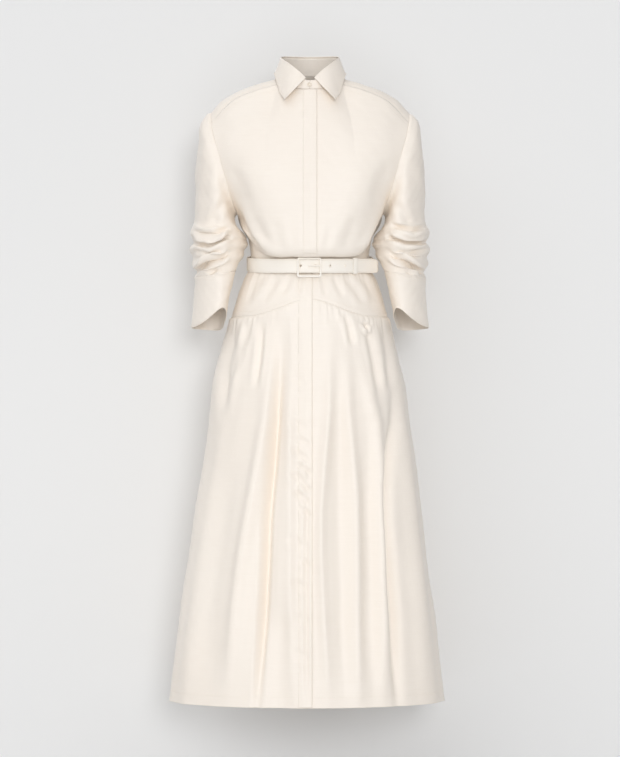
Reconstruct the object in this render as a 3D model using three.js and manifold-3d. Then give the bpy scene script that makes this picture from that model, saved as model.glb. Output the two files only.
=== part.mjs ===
// Shirt dress in ivory silk, filled out as if worn: pointed collar on a stand, covered front
// placket, dropped shoulders, ruched full sleeves with wide open cuffs, a bodice that pouches over
// a self belt, a curved hip yoke and a long gathered skirt.
// Millimetres, +Z up, the front faces -Y, and the origin is the middle of the neck at its base.
import * as THREE from "three";
import { mergeVertices } from "three/addons/utils/BufferGeometryUtils.js";
import Module from "manifold-3d";

const wasm = await Module();
wasm.setup();

// Driving dimensions
const CLOTH = 1.6; // wall of the cloth with its seam allowances
const SEAM_GAP = 0.3;
const TUBE_DRAW = 0.45; // a sleeve or cuff draws back further, where seams cross at the underarm
const WAIST_Z = -372;
const HEM_Z = -1281;
const HEM_LEAN = -7; // the skirt hangs a little to the wearer's right
const HALF_COLUMNS = 12; // columns of a bodice panel from the centre line to its edge
const NECK_COLUMNS = 5; // of those, the columns that end on the neckline
const SLEEVE_COLUMNS = 24;
const SKIRT_COLUMNS = 96;
const BELT_HEIGHT = 29.5;
const BELT_THICK = 2.4;
const LAYER_GAP = 0.6;

const vec = (x, y, z) => new THREE.Vector3(x, y, z);
const mix = (a, b, f) => a + (b - a) * f;
const clamp01 = (f) => Math.min(1, Math.max(0, f));
const ease = (f) => clamp01(f) ** 2 * (3 - 2 * clamp01(f));
const bell = (d) => Math.exp(-d * d);

// Reads one named column of a table of rows sorted by the column named key.
function readTable(table, key, value, column) {
  const rising = table[table.length - 1][key] > table[0][key];
  const after = table.findIndex((row) => (rising ? row[key] >= value : row[key] <= value));
  if (after < 0) return table[table.length - 1][column];
  if (after === 0) return table[0][column];
  const [low, high] = [table[after - 1], table[after]];
  return mix(low[column], high[column], (value - low[key]) / (high[key] - low[key]));
}

// The same column read along a smooth curve through the table's rows.
function readCurve(table, key, value, column) {
  const rising = table[table.length - 1][key] > table[0][key];
  const after = table.findIndex((row) => (rising ? row[key] >= value : row[key] <= value));
  if (after <= 0) return readTable(table, key, value, column);
  const slope = (row) => {
    const [low, high] = [table[Math.max(0, row - 1)], table[Math.min(table.length - 1, row + 1)]];
    return (high[column] - low[column]) / (high[key] - low[key]);
  };
  const [low, high] = [table[after - 1], table[after]];
  const span = high[key] - low[key];
  const f = (value - low[key]) / span;
  const bend = f * (1 - f) ** 2 * slope(after - 1) - f ** 2 * (1 - f) * slope(after);
  return mix(low[column], high[column], ease(f)) + span * bend;
}

// Finishes
function finish(color, roughness) {
  return new THREE.MeshStandardMaterial({ color, roughness, metalness: 0 });
}
const silk = finish(0xf6eddf, 0.5);
const silkBelt = finish(0xf4e9d8, 0.55);
const shell = finish(0xefe2cc, 0.3);

// Sections of the skirt and hips: half the width, and the depth before and behind the middle
const SECTIONS = [
  { z: -372, half: 122, front: 100, back: 98 },
  { z: -400, half: 139, front: 108, back: 112 },
  { z: -449, half: 156, front: 126, back: 128 },
  { z: -525, half: 177, front: 142, back: 148 },
  { z: -575, half: 190, front: 150, back: 160 },
  { z: -626, half: 203, front: 157, back: 170 },
  { z: -727, half: 214, front: 168, back: 184 },
  { z: -828, half: 227, front: 178, back: 196 },
  { z: -928, half: 239, front: 187, back: 206 },
  { z: -1029, half: 254, front: 195, back: 216 },
  { z: -1130, half: 269, front: 203, back: 226 },
  { z: -1281, half: 288, front: 212, back: 240 },
];

// Large folds of the skirt's front: x at the hip yoke, half way down and at the hem, the heights
// between which it shows, how far it stands out (in if negative) and half its width
const FRONT_FOLDS = [
  { top: -154, middle: -205, hem: -250, from: -470, to: -800, depth: -8, spread: 14 },
  { top: -116, middle: -168, hem: -216, from: -500, to: -1281, depth: 5, spread: 26 },
  { top: -82, middle: -112, hem: -178, from: -500, to: -1281, depth: 9, spread: 17 },
  { top: -61, middle: -88, hem: -113, from: -452, to: -1281, depth: -13, spread: 12 },
  { top: -48, middle: -42, hem: -37, from: -540, to: -1281, depth: 9, spread: 15 },
  { top: 42, middle: 24, hem: 42, from: -520, to: -1281, depth: 8, spread: 16 },
  { top: 60, middle: 58, hem: 70, from: -480, to: -1281, depth: -6, spread: 14 },
  { top: 73, middle: 92, hem: 99, from: -560, to: -1281, depth: 8, spread: 16 },
  { top: 88, middle: 138, hem: 150, from: -500, to: -1281, depth: 8, spread: 18 },
  { top: 140, middle: 172, hem: 188, from: -520, to: -1281, depth: -11, spread: 15 },
  { top: 160, middle: 208, hem: 246, from: -560, to: -1281, depth: 6, spread: 22 },
];
const BACK_FOLDS = 13; // like folds on the side that the front view hides
const BACK_FOLD_DEPTH = 8;
const GATHERS = 32; // small gathers all round under the hip yoke
const GATHER_DEPTH = 2.4;
const GATHER_LENGTH = 210;
const GATHER_TOP = -470; // height at which the gathers begin
const GATHER_START = 40; // and over which they reach their depth
const FOLD_START = 7; // a fold reaches its depth in one seventh of its length
const FOLD_END = 3; // one that stops above the hem fades over its last third
const BACK_BLEND = 3; // how fast the back's folds set in towards the back
const BACK_SWAY = { depth: 1.1, waves: 3 }; // makes them uneven
const CALM = { from: 10, over: 30 }; // flat cloth beside the stiff front opening

// How far the folds push the skirt out at an angle and a height.
function foldDepth(angle, z, half) {
  const x = half * Math.sin(angle);
  const down = (z - FRONT_FOLDS[1].from) / (HEM_Z - FRONT_FOLDS[1].from);
  let out = 0;
  if (Math.cos(angle) > -0.1)
    for (const fold of FRONT_FOLDS) {
      const place =
        down < 0.5
          ? mix(fold.top, fold.middle, clamp01(down * 2))
          : mix(fold.middle, fold.hem, down * 2 - 1);
      const length = (z - fold.from) / (fold.to - fold.from);
      if (length <= 0 || length > 1) continue;
      const end = fold.to > HEM_Z ? ease((1 - length) * FOLD_END) : 1;
      const fade = ease(length * FOLD_START) * end;
      out += fold.depth * fade * bell((x - place) / fold.spread);
    }
  const behind = ease(-Math.cos(angle) * BACK_BLEND);
  const swell = Math.sin(angle * BACK_FOLDS + BACK_SWAY.depth * Math.sin(angle * BACK_SWAY.waves));
  out += BACK_FOLD_DEPTH * behind * ease(down * BACK_BLEND) * swell;
  const below = z - GATHER_TOP;
  const gather = ease(-below / GATHER_START) * ease(1 + below / GATHER_LENGTH);
  const calm = Math.cos(angle) > 0 ? ease((Math.abs(x) - CALM.from) / CALM.over) : 1;
  return out + GATHER_DEPTH * gather * calm * Math.cos(angle * GATHERS);
}

// A point of the skirt or hips at an angle from the front centre towards the wearer's left.
function skirtPoint(angle, z) {
  const half = readCurve(SECTIONS, "z", z, "half");
  const side = Math.cos(angle) > 0 ? "front" : "back";
  const depth = readCurve(SECTIONS, "z", z, side);
  const out = foldDepth(angle, z, half);
  const lean = HEM_LEAN * clamp01((z - WAIST_Z) / (HEM_Z - WAIST_Z));
  return vec((half + out) * Math.sin(angle) + lean, -(depth + out) * Math.cos(angle), z);
}

// The hip yoke's lower seam is high at the front centre and low at the sides and back.
const HIP_SEAM_FRONT = -441;
const HIP_SEAM_SIDE = -476;
const HIP_SEAM_REACH = 0.8; // share of the half width at which the seam has come down
function hipSeam(angle) {
  if (Math.cos(angle) < 0) return HIP_SEAM_SIDE;
  return mix(HIP_SEAM_FRONT, HIP_SEAM_SIDE, ease(Math.abs(Math.sin(angle)) / HIP_SEAM_REACH));
}

// Armhole of the wearer's left, from the top round the front, the underarm and the back
const ARMHOLE = [
  { at: "top", x: 208, y: 8, z: -48 },
  { at: "front upper", x: 204, y: -44, z: -86 },
  { at: "front", x: 187, y: -74, z: -150 },
  { at: "front lower", x: 167, y: -60, z: -220 },
  { at: "underarm", x: 152, y: 4, z: -262 },
  { at: "back lower", x: 165, y: 66, z: -218 },
  { at: "back", x: 185, y: 84, z: -148 },
  { at: "back upper", x: 203, y: 58, z: -84 },
];
const armholeCurve = new THREE.CatmullRomCurve3(
  ARMHOLE.map((point) => vec(point.x, point.y, point.z)),
  true,
);
const armhole = Array.from({ length: SLEEVE_COLUMNS }, (_, step) =>
  armholeCurve.getPoint(step / SLEEVE_COLUMNS),
);
const UNDERARM = SLEEVE_COLUMNS / 2;
const YOKE_END = 2; // armhole steps from the top to either seam of the shoulder yoke

// Rows of the bodice below the armhole: heights at the centre and the side, the depth of the
// centre line and where the side seam lies. The third row is the lip that pouches over the belt.
const FRONT_LOW = [
  { centre: -372, side: -372, depth: 100, edge: 122, bow: 1 },
  { centre: -352, side: -338, depth: 104, edge: 125, bow: 1.6 },
  { centre: -355, side: -304, depth: 127, edge: 131, bow: 2.2 },
];
const BACK_LOW = [
  { centre: -372, side: -372, depth: 98, edge: 122, bow: 1 },
  { centre: -337, side: -338, depth: 101, edge: 125, bow: 1.6 },
  { centre: -338, side: -304, depth: 116, edge: 131, bow: 2.2 },
];
// Rows from the lip up to the yoke, one for each step of the armhole: the depth of the centre line,
// and the angle in degrees at which the cloth runs into the armhole
const HIGH_ROWS = UNDERARM - YOKE_END;
const FRONT_HIGH = [
  { up: 0, z: -342, depth: 139, turn: 88, bow: 2.3 },
  { up: 0.1, z: -318, depth: 139, turn: 75, bow: 2 },
  { up: 0.3, z: -256, depth: 134, turn: 55, bow: 1.7 },
  { up: 0.5, z: -180, depth: 128, turn: 42, bow: 1.5 },
  { up: 0.75, z: -85, depth: 108, turn: 38, bow: 1.6 },
  { up: 1, z: -3, depth: 77, turn: 35, bow: 2 },
];
const BACK_HIGH = [
  { up: 0, z: -327, depth: 127, turn: 88, bow: 2.3 },
  { up: 0.1, z: -308, depth: 129, turn: 75, bow: 2 },
  { up: 0.3, z: -262, depth: 124, turn: 55, bow: 1.7 },
  { up: 0.5, z: -200, depth: 120, turn: 42, bow: 1.5 },
  { up: 0.75, z: -130, depth: 112, turn: 38, bow: 1.3 },
  { up: 1, z: -82, depth: 96, turn: 35, bow: 1 },
];

const ROW_FLAT = 0.62; // share of a row's half width over which its curve stays level with the centre
const ROW_REACH = 0.5; // share of it over which the curve turns into the edge

// One row of a bodice panel: a curve from the centre line to the edge, flat at the centre and
// running into the edge at the stated angle. facing is -1 for the front and 1 for the back.
function bodiceRow(facing, depth, centreZ, edge, turn, bow) {
  const angle = THREE.MathUtils.degToRad(turn);
  const reach = ROW_REACH * edge.x;
  const curve = new THREE.CubicBezierCurve3(
    vec(0, facing * depth, 0),
    vec(ROW_FLAT * edge.x, facing * depth, 0),
    vec(edge.x - reach * Math.cos(angle), edge.y + facing * reach * Math.sin(angle), 0),
    vec(edge.x, edge.y, 0),
  );
  return Array.from({ length: HALF_COLUMNS + 1 }, (_, column) => {
    const share = column / HALF_COLUMNS;
    const point = curve.getPoint(share);
    point.z = mix(centreZ, edge.z, share ** bow);
    return point;
  });
}

// The neckline on the wearer's left, from the front centre (0) to the back centre (1).
const NECK = { half: 71, front: 77, back: 62, frontZ: -3, sideZ: 23, backZ: 33 };
function neckPoint(share) {
  const angle = share * Math.PI;
  const depth = share < 0.5 ? NECK.front : NECK.back;
  const z =
    share < 0.5
      ? mix(NECK.frontZ, NECK.sideZ, 1 - Math.cos(angle))
      : mix(NECK.sideZ, NECK.backZ, -Math.cos(angle));
  return vec(NECK.half * Math.sin(angle), -depth * Math.cos(angle), z);
}
const NECK_SEAM_SHARE = 0.36; // where the yoke's front seam meets the neckline

// The yoke's front seam runs from the neckline to the armhole along the front of the shoulder.
const seamCurve = new THREE.CatmullRomCurve3([
  neckPoint(NECK_SEAM_SHARE),
  vec(112, -38, -2),
  vec(160, -36, -23),
  armhole[YOKE_END].clone(),
]);
function frontTop(column) {
  if (column <= NECK_COLUMNS) return neckPoint((column / NECK_COLUMNS) * NECK_SEAM_SHARE);
  return seamCurve.getPoint((column - NECK_COLUMNS) / (HALF_COLUMNS - NECK_COLUMNS));
}

const SIDE_SEAM_Y = 2;
const SIDE_TURN = 90; // degrees at which a row below the armhole runs into the side seam

// Rows of half a bodice panel, from the waist up, for the front (facing -1) or back (facing 1).
function bodiceRows(facing) {
  const [low, high] = facing < 0 ? [FRONT_LOW, FRONT_HIGH] : [BACK_LOW, BACK_HIGH];
  const rows = low.map((row) =>
    bodiceRow(
      facing,
      row.depth,
      row.centre,
      vec(row.edge, SIDE_SEAM_Y, row.side),
      SIDE_TURN,
      row.bow,
    ),
  );
  for (let step = 0; step <= HIGH_ROWS; step++) {
    const up = step / HIGH_ROWS;
    const read = (column) => readTable(high, "up", up, column);
    const place = facing < 0 ? UNDERARM - step : UNDERARM + step;
    rows.push(
      bodiceRow(facing, read("depth"), read("z"), armhole[place], read("turn"), read("bow")),
    );
  }
  if (facing < 0) fitTop(rows, frontTop);
  return rows;
}

// Draws the last rows of a panel to the curve of its top edge.
const FIT_SHARES = [1, 0.72, 0.46, 0.25, 0.1];
function fitTop(rows, topPoint) {
  const top = rows[rows.length - 1].map((point, column) => topPoint(column).sub(point));
  FIT_SHARES.forEach((share, back) =>
    rows[rows.length - 1 - back].forEach((point, column) =>
      point.addScaledVector(top[column], share),
    ),
  );
}

const mirror = (point) => vec(-point.x, point.y, point.z);
const mirrorRows = (rows) => rows.map((row) => row.map(mirror));

// Joins a half row and its mirror image into one row across the body.
function across(row) {
  return [...row.slice(1).reverse().map(mirror), ...row];
}

// Shoulder yoke: the top of the shoulder at a few widths
const RIDGE = [
  { x: 71, z: 26 },
  { x: 94, z: 20 },
  { x: 130, z: 6 },
  { x: 170, z: -12 },
  { x: 193, z: -28 },
  { x: 208, z: -48 },
];
// Where the middle of each yoke column lies: behind the ridge at the neck, on it at the armhole
const YOKE_MIDDLE = { neckY: 34, armholeY: 11, neckDrop: 12, share: 0.45 };
const NAPE = { back: 5, bulge: 10, sideBulge: 24 }; // behind the neck the middle stands out a little
const YOKE_FIT = [1, 0.55, 0.2]; // how far the outer columns follow the armhole, from the edge inwards
const YOKE_ROWS = 2 * YOKE_END;

function yokeRows(backTop) {
  const columns = [];
  for (let column = 0; column <= HALF_COLUMNS; column++) {
    const back = backTop[column];
    if (column < NECK_COLUMNS) {
      const share = 1 - (column / NECK_COLUMNS) * (1 - NECK_SEAM_SHARE);
      const start = neckPoint(share);
      const bulge = NAPE.bulge + NAPE.sideBulge * (column / (NECK_COLUMNS - 1)) ** 3;
      const middle = start.clone().lerp(back, 0.5).add(vec(0, NAPE.back, bulge));
      columns.push({ start, middle, back });
      continue;
    }
    const start = frontTop(column);
    const outward = (column - NECK_COLUMNS) / (HALF_COLUMNS - NECK_COLUMNS);
    const x = mix(start.x, back.x, YOKE_MIDDLE.share);
    const y = mix(YOKE_MIDDLE.neckY, YOKE_MIDDLE.armholeY, outward);
    const z = readCurve(RIDGE, "x", x, "z") - YOKE_MIDDLE.neckDrop * (1 - outward);
    columns.push({ start, middle: vec(x, y, z), back });
  }
  // each column is a curve from the front seam or neckline over the shoulder to the back seam
  const rows = Array.from({ length: YOKE_ROWS + 1 }, (_, row) =>
    columns.map(({ start, middle, back }) => {
      const control = middle.clone().multiplyScalar(2).sub(start.clone().lerp(back, 0.5));
      return new THREE.QuadraticBezierCurve3(start, control, back).getPoint(row / YOKE_ROWS);
    }),
  );
  // the outer columns run into the armhole
  rows.forEach((row, index) => {
    const place = (YOKE_END - index + SLEEVE_COLUMNS) % SLEEVE_COLUMNS;
    const miss = armhole[place].clone().sub(row[HALF_COLUMNS]);
    YOKE_FIT.forEach((share, inward) =>
      row[HALF_COLUMNS - inward].addScaledVector(miss, share),
    );
  });
  return rows.map(across);
}

// Rings of the wearer's left sleeve, each with its outer and inner point, half its depth front to
// back, and how far its front is drawn in towards the body. Ring 0 is the armhole.
const SLEEVE_RINGS = [
  { outX: 244, outZ: -64, inX: 166, inZ: -268, deep: 80, middle: 5, draw: 0, blend: 0.25 },
  { outX: 248, outZ: -94, inX: 162, inZ: -276, deep: 82, middle: 5, draw: 0, blend: 0.55 },
  { outX: 241, outZ: -140, inX: 156, inZ: -285, deep: 82, middle: 4, draw: 0, blend: 0.85 },
  { outX: 241, outZ: -188, inX: 150, inZ: -292, deep: 80, middle: 3, draw: 2, blend: 1 },
  { outX: 241, outZ: -234, inX: 144, inZ: -298, deep: 78, middle: 2, draw: 4, blend: 1 },
  { outX: 242, outZ: -276, inX: 138, inZ: -304, deep: 74, middle: 1, draw: 4, blend: 1 },
  { outX: 251, outZ: -300, inX: 134, inZ: -311, deep: 80, middle: 0, draw: 4, blend: 1 },
  { outX: 244, outZ: -319, inX: 134, inZ: -316, deep: 72, middle: 0, draw: 5, blend: 1 },
  { outX: 253, outZ: -335, inX: 131, inZ: -326, deep: 78, middle: 0, draw: 6, blend: 1 },
  { outX: 245, outZ: -352, inX: 138, inZ: -336, deep: 70, middle: -1, draw: 8, blend: 1 },
  { outX: 248, outZ: -366, inX: 139, inZ: -349, deep: 74, middle: -2, draw: 9, blend: 1 },
  { outX: 239, outZ: -381, inX: 149, inZ: -363, deep: 65, middle: -3, draw: 11, blend: 1 },
  { outX: 243, outZ: -394, inX: 158, inZ: -382, deep: 67, middle: -4, draw: 14, blend: 1 },
];
const CUFF_RINGS = [
  { outX: 243, outZ: -394, inX: 158, inZ: -382, deep: 67, middle: -4, draw: 14, blend: 1 },
  { outX: 243, outZ: -430, inX: 169, inZ: -422, deep: 65, middle: -5, draw: 18, blend: 1 },
  { outX: 246, outZ: -466, inX: 176, inZ: -462, deep: 64, middle: -6, draw: 21, blend: 1 },
  { outX: 249, outZ: -501, inX: 181, inZ: -507, deep: 63, middle: -6, draw: 22, blend: 1 },
];
const CUFF_PEAK = 46; // how much higher the front of the cuff's mouth is
const CUFF_PEAK_AT = 115; // degrees from the outer side towards the front
const CUFF_PEAK_SPREAD = 62;

function sleeveRing(ring, mouthPeak) {
  return Array.from({ length: SLEEVE_COLUMNS }, (_, column) => {
    const angle = (column / SLEEVE_COLUMNS) * 2 * Math.PI;
    const side = (1 + Math.cos(angle)) / 2;
    const front = Math.max(0, Math.sin(angle));
    const degrees = THREE.MathUtils.radToDeg(angle);
    const point = vec(
      mix(ring.inX, ring.outX, side) - ring.draw * front,
      ring.middle - ring.deep * Math.sin(angle),
      mix(ring.inZ, ring.outZ, side),
    );
    point.z += mouthPeak * bell((degrees - CUFF_PEAK_AT) / CUFF_PEAK_SPREAD);
    return armhole[column].clone().lerp(point, ring.blend);
  });
}
function sleeveRows() {
  return [armhole.map((point) => point.clone()), ...SLEEVE_RINGS.map((r) => sleeveRing(r, 0))];
}
function cuffRows() {
  return CUFF_RINGS.map((ring, row) =>
    sleeveRing(ring, CUFF_PEAK * (row / (CUFF_RINGS.length - 1)) ** 2),
  );
}

// Collar: the stand rises from the neckline to the fold line, and the fall turns down over it to
// an edge that ends in two points
const COLLAR = { half: 62, front: 74, back: 56, backTop: 70, frontTop: 15, curve: 3.4 };
const COLLAR_OPEN = 0.045; // share of half the neck left open at the front
const FALL = { backDrop: 45, out: 13, lift: 3.7, edgeStart: 0.235 };
const COLLAR_TIP = { x: 54, y: -98, z: -26 };
const RESTING = { shoulderZ: 34, chestZ: -40, chestDepth: 105 }; // the fall's edge stays above these
const LEAF_SHARE = 0.3; // of half the fall, from its front end, whose outer edge runs to the point
const COLLAR_COLUMNS = 14; // of half the fall

// A point of the fold line from the front end (0) to the back centre (1).
function foldLine(share, open) {
  const angle = mix(open, 1, share) * Math.PI;
  const depth = angle < Math.PI / 2 ? COLLAR.front : COLLAR.back;
  const fall = (1 - Math.max(0, angle / Math.PI - COLLAR_OPEN)) ** COLLAR.curve;
  const z = mix(COLLAR.backTop, COLLAR.frontTop, fall);
  return vec(COLLAR.half * Math.sin(angle), -depth * Math.cos(angle), z);
}
function standRows() {
  const last = 2 * NECK_COLUMNS;
  const shares = Array.from({ length: last + 1 }, (_, column) =>
    column <= NECK_COLUMNS
      ? (column / NECK_COLUMNS) * NECK_SEAM_SHARE
      : mix(NECK_SEAM_SHARE, 1, (column - NECK_COLUMNS) / NECK_COLUMNS),
  );
  const foot = shares.map(neckPoint);
  const top = shares.map((share) => foldLine(share, 0));
  const middle = foot.map((point, column) => point.clone().lerp(top[column], 0.5));
  return [foot, middle, top].map((row) => [...row, ...row.slice(0, -1).reverse().map(mirror)]);
}
const FALL_ROWS = [
  { along: 0, rise: 0, swell: 0 },
  { along: 0.02, rise: 1, swell: 2.6 },
  { along: 0.3, rise: 0.3, swell: 4.4 },
  { along: 0.65, rise: 0, swell: 3 },
  { along: 1, rise: 0, swell: 0 },
];
function fallRows() {
  const half = FALL_ROWS.map((row) =>
    Array.from({ length: COLLAR_COLUMNS + 1 }, (_, column) => {
      const share = column / COLLAR_COLUMNS;
      const start = foldLine(share, COLLAR_OPEN).add(vec(0, 0, FALL.lift));
      const away = vec(start.x, start.y, 0).normalize();
      const around = mix(FALL.edgeStart, 1, share) * Math.PI;
      const depth = around < Math.PI / 2 ? COLLAR.front : COLLAR.back;
      const edge = vec(
        (COLLAR.half + FALL.out) * Math.sin(around),
        -(depth + FALL.out) * Math.cos(around),
        start.z - FALL.backDrop,
      );
      const tip = vec(COLLAR_TIP.x, COLLAR_TIP.y, COLLAR_TIP.z);
      edge.lerp(tip, clamp01(1 - share / LEAF_SHARE));
      const shoulder = mix(
        RESTING.chestZ,
        RESTING.shoulderZ,
        ease(1 + edge.y / RESTING.chestDepth),
      );
      edge.z = Math.max(edge.z, shoulder);
      const point = start.clone().lerp(edge, row.along);
      return point.addScaledVector(away, row.swell).add(vec(0, 0, row.rise));
    }),
  );
  return half.map((row) => [...row, ...row.slice(0, -1).reverse().map(mirror)]);
}

// Cloth: every sheet is a grid of points on the outside of the garment. Points that sheets share
// at a seam get one common normal, so that their walls meet without crossing.
const sheets = [];
function addSheet(name, rows, tube, inside) {
  sheets.push({ name, rows, tube, inside });
}
const keyOf = (point) => [point.x, point.y, point.z].map((v) => v.toFixed(2)).join();

// The triangles of a grid of rows, as index pairs, without its rims.
function gridFaces(sheet) {
  const columns = sheet.rows[0].length;
  const last = sheet.tube ? columns : columns - 1;
  const faces = [];
  for (let row = 0; row + 1 < sheet.rows.length; row++)
    for (let column = 0; column < last; column++) {
      const next = (column + 1) % columns;
      const [a, b, c, d] = [
        row * columns + column,
        row * columns + next,
        (row + 1) * columns + next,
        (row + 1) * columns + column,
      ];
      faces.push([a, b, c], [a, c, d]);
    }
  return faces;
}

const faceNormal = ([a, b, c]) => b.clone().sub(a).cross(c.clone().sub(a));

// Turns a sheet's faces outwards and adds their normals to its points' shared normals.
const sharedNormals = new Map();
function orient(sheet) {
  const points = sheet.rows.flat();
  const faces = gridFaces(sheet);
  const facing = faces.reduce((sum, face) => {
    const corners = face.map((index) => points[index]);
    return sum + faceNormal(corners).dot(corners[0].clone().sub(sheet.inside(corners[0])));
  }, 0);
  sheet.faces = facing < 0 ? faces.map(([a, b, c]) => [a, c, b]) : faces;
  for (const face of sheet.faces) {
    const normal = faceNormal(face.map((index) => points[index])).normalize();
    for (const index of face) {
      const key = keyOf(points[index]);
      if (!sharedNormals.has(key)) sharedNormals.set(key, vec(0, 0, 0));
      sharedNormals.get(key).add(normal);
    }
  }
}

// How far each edge point of a sheet draws back from its seam.
function seamShift(sheet, row, column) {
  const { rows, tube } = sheet;
  const point = rows[row][column];
  const shift = vec(0, 0, 0);
  const gap = tube ? TUBE_DRAW : SEAM_GAP / 2;
  const draw = (other) => shift.add(other.clone().sub(point).setLength(gap));
  if (row === 0) draw(rows[1][column]);
  if (row === rows.length - 1) draw(rows[row - 1][column]);
  if (!tube && column === 0) draw(rows[row][1]);
  if (!tube && column === rows[0].length - 1) draw(rows[row][column - 1]);
  return shift;
}

function sheetMesh(sheet) {
  const { rows, tube, faces, name } = sheet;
  const columns = rows[0].length;
  const outer = [];
  const inner = [];
  rows.forEach((points, row) =>
    points.forEach((point, column) => {
      const normal = sharedNormals.get(keyOf(point)).clone().normalize();
      const moved = point.clone().add(seamShift(sheet, row, column));
      outer.push(moved);
      inner.push(moved.clone().addScaledVector(normal, -CLOTH));
    }),
  );
  return meshOf(name, [...outer, ...inner], wallFaces(faces, outer.length), silk);
}

// The faces of a wall: the outer ones, the same turned round for the inner points that follow the
// outer ones, and a rim along each open edge.
function wallFaces(faces, count) {
  const all = [...faces, ...faces.map(([a, b, c]) => [a + count, c + count, b + count])];
  const used = new Set(faces.flatMap(([a, b, c]) => [`${a},${b}`, `${b},${c}`, `${c},${a}`]));
  for (const edge of used) {
    const [a, b] = edge.split(",").map(Number);
    if (!used.has(`${b},${a}`)) all.push([b, a, a + count], [b, a + count, b + count]);
  }
  return all;
}

function meshOf(name, points, faces, material) {
  const geometry = new THREE.BufferGeometry();
  geometry.setAttribute(
    "position",
    new THREE.Float32BufferAttribute(points.flatMap((point) => point.toArray()), 3),
  );
  geometry.setIndex(faces.flat());
  geometry.computeVertexNormals();
  const mesh = new THREE.Mesh(geometry, material);
  mesh.name = name;
  return mesh;
}

// Points of the cloth's outside at an angle round the skirt, from one share of a drop to another.
function skirtRows(from, to, shares, heightAt) {
  return shares.map((share) =>
    Array.from({ length: to - from + 1 }, (_, step) => {
      const angle = ((from + step) / SKIRT_COLUMNS) * 2 * Math.PI;
      return skirtPoint(angle, heightAt(angle, share));
    }),
  );
}
const HIP_SHARES = [0, 0.35, 0.7, 1];
const SKIRT_SHARES = [0, 0.045, 0.11, 0.2, 0.32, 0.45, 0.6, 0.8, 1];
const hipHeight = (angle, share) => mix(WAIST_Z, hipSeam(angle), share);
const skirtHeight = (angle, share) => mix(hipSeam(angle), HEM_Z, share);
const QUARTER = SKIRT_COLUMNS / 4;
const FIRST_PLACKET_ROW = 3; // the lip of the pouch: below it the placket is folded away
const PLACKET_REACH = 4; // columns of the skirt on either side that the placket may cross

const axisAt = (point) => vec(0, 0, point.z);
const BODY_MIDDLE = vec(0, 10, -250);

const frontLeft = bodiceRows(-1);
const backHalf = bodiceRows(1);
addSheet("bodice_front_left", frontLeft, false, axisAt);
addSheet("bodice_front_right", mirrorRows(frontLeft), false, axisAt);
addSheet("bodice_back", backHalf.map(across), false, axisAt);
addSheet("shoulder_yoke", yokeRows(backHalf[backHalf.length - 1]), false, () => BODY_MIDDLE);
const SLEEVE_AXIS_X = 196;
for (const [side, sign] of [
  ["left", 1],
  ["right", -1],
]) {
  const place = (rows) => (sign > 0 ? rows : mirrorRows(rows));
  const inside = (point) => vec(sign * SLEEVE_AXIS_X, 0, point.z);
  addSheet(`sleeve_${side}`, place(sleeveRows()), true, inside);
  addSheet(`cuff_${side}`, place(cuffRows()), true, inside);
}
addSheet("collar_stand", standRows(), false, axisAt);
addSheet("collar_fall", fallRows(), false, axisAt);
for (const [name, from, to] of [
  ["front_left", 0, QUARTER],
  ["back", QUARTER, 3 * QUARTER],
  ["front_right", 3 * QUARTER, 4 * QUARTER],
]) {
  addSheet(`hip_yoke_${name}`, skirtRows(from, to, HIP_SHARES, hipHeight), false, axisAt);
  addSheet(`skirt_${name}`, skirtRows(from, to, SKIRT_SHARES, skirtHeight), false, axisAt);
}
sheets.forEach(orient);

// A strip of cloth laid on the front opening: its points are those of the panels, moved out.
const PLACKET = { half: 14.7, bodiceCentre: 0, skirtCentre: -9.5, thick: 1.4, over: 0.45 };

// A point of a row of the cloth at a stated x, on the row's own straight stretches.
function pointAt(row, x) {
  const next = row.findIndex((point) => point.x >= x);
  const [low, high] = [row[next - 1], row[next]];
  return low.clone().lerp(high, (x - low.x) / (high.x - low.x));
}
function stripMesh(name, rows, centre) {
  const places = [-1, 0, 1].map((side) => centre + side * PLACKET.half);
  const layer = (out) => rows.map((row) => places.map((x) => pointAt(row, x).add(vec(0, -out, 0))));
  const top = layer(PLACKET.over + PLACKET.thick);
  const sheet = { rows: top, tube: false };
  const points = top.flat();
  const first = gridFaces(sheet);
  const turned = faceNormal(first[0].map((index) => points[index])).y > 0;
  const faces = turned ? first.map(([a, b, c]) => [a, c, b]) : first;
  return meshOf(name, [...points, ...layer(PLACKET.over).flat()], wallFaces(faces, points.length), silk);
}

// The rows of both fronts, joined over the opening
const bodicePlacketRows = frontLeft.slice(FIRST_PLACKET_ROW).map(across);
const frontSkirtRows = (shares, heightAt) => {
  const right = skirtRows(-PLACKET_REACH, 0, shares, heightAt);
  const left = skirtRows(0, PLACKET_REACH, shares, heightAt);
  return right.map((row, index) => [...row, ...left[index].slice(1)]);
};
const skirtPlacketRows = [
  ...frontSkirtRows(HIP_SHARES.slice(1), hipHeight),
  ...frontSkirtRows(SKIRT_SHARES.slice(1), skirtHeight),
];

// Belt: one long strap that starts under the buckle, goes round the waist by the wearer's left and
// comes back over itself, through the buckle, to a free tip at the wearer's left.
const BELT = { half: 130.5, front: 110, back: 108, frontZ: -372.5, backZ: -359 };
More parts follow.
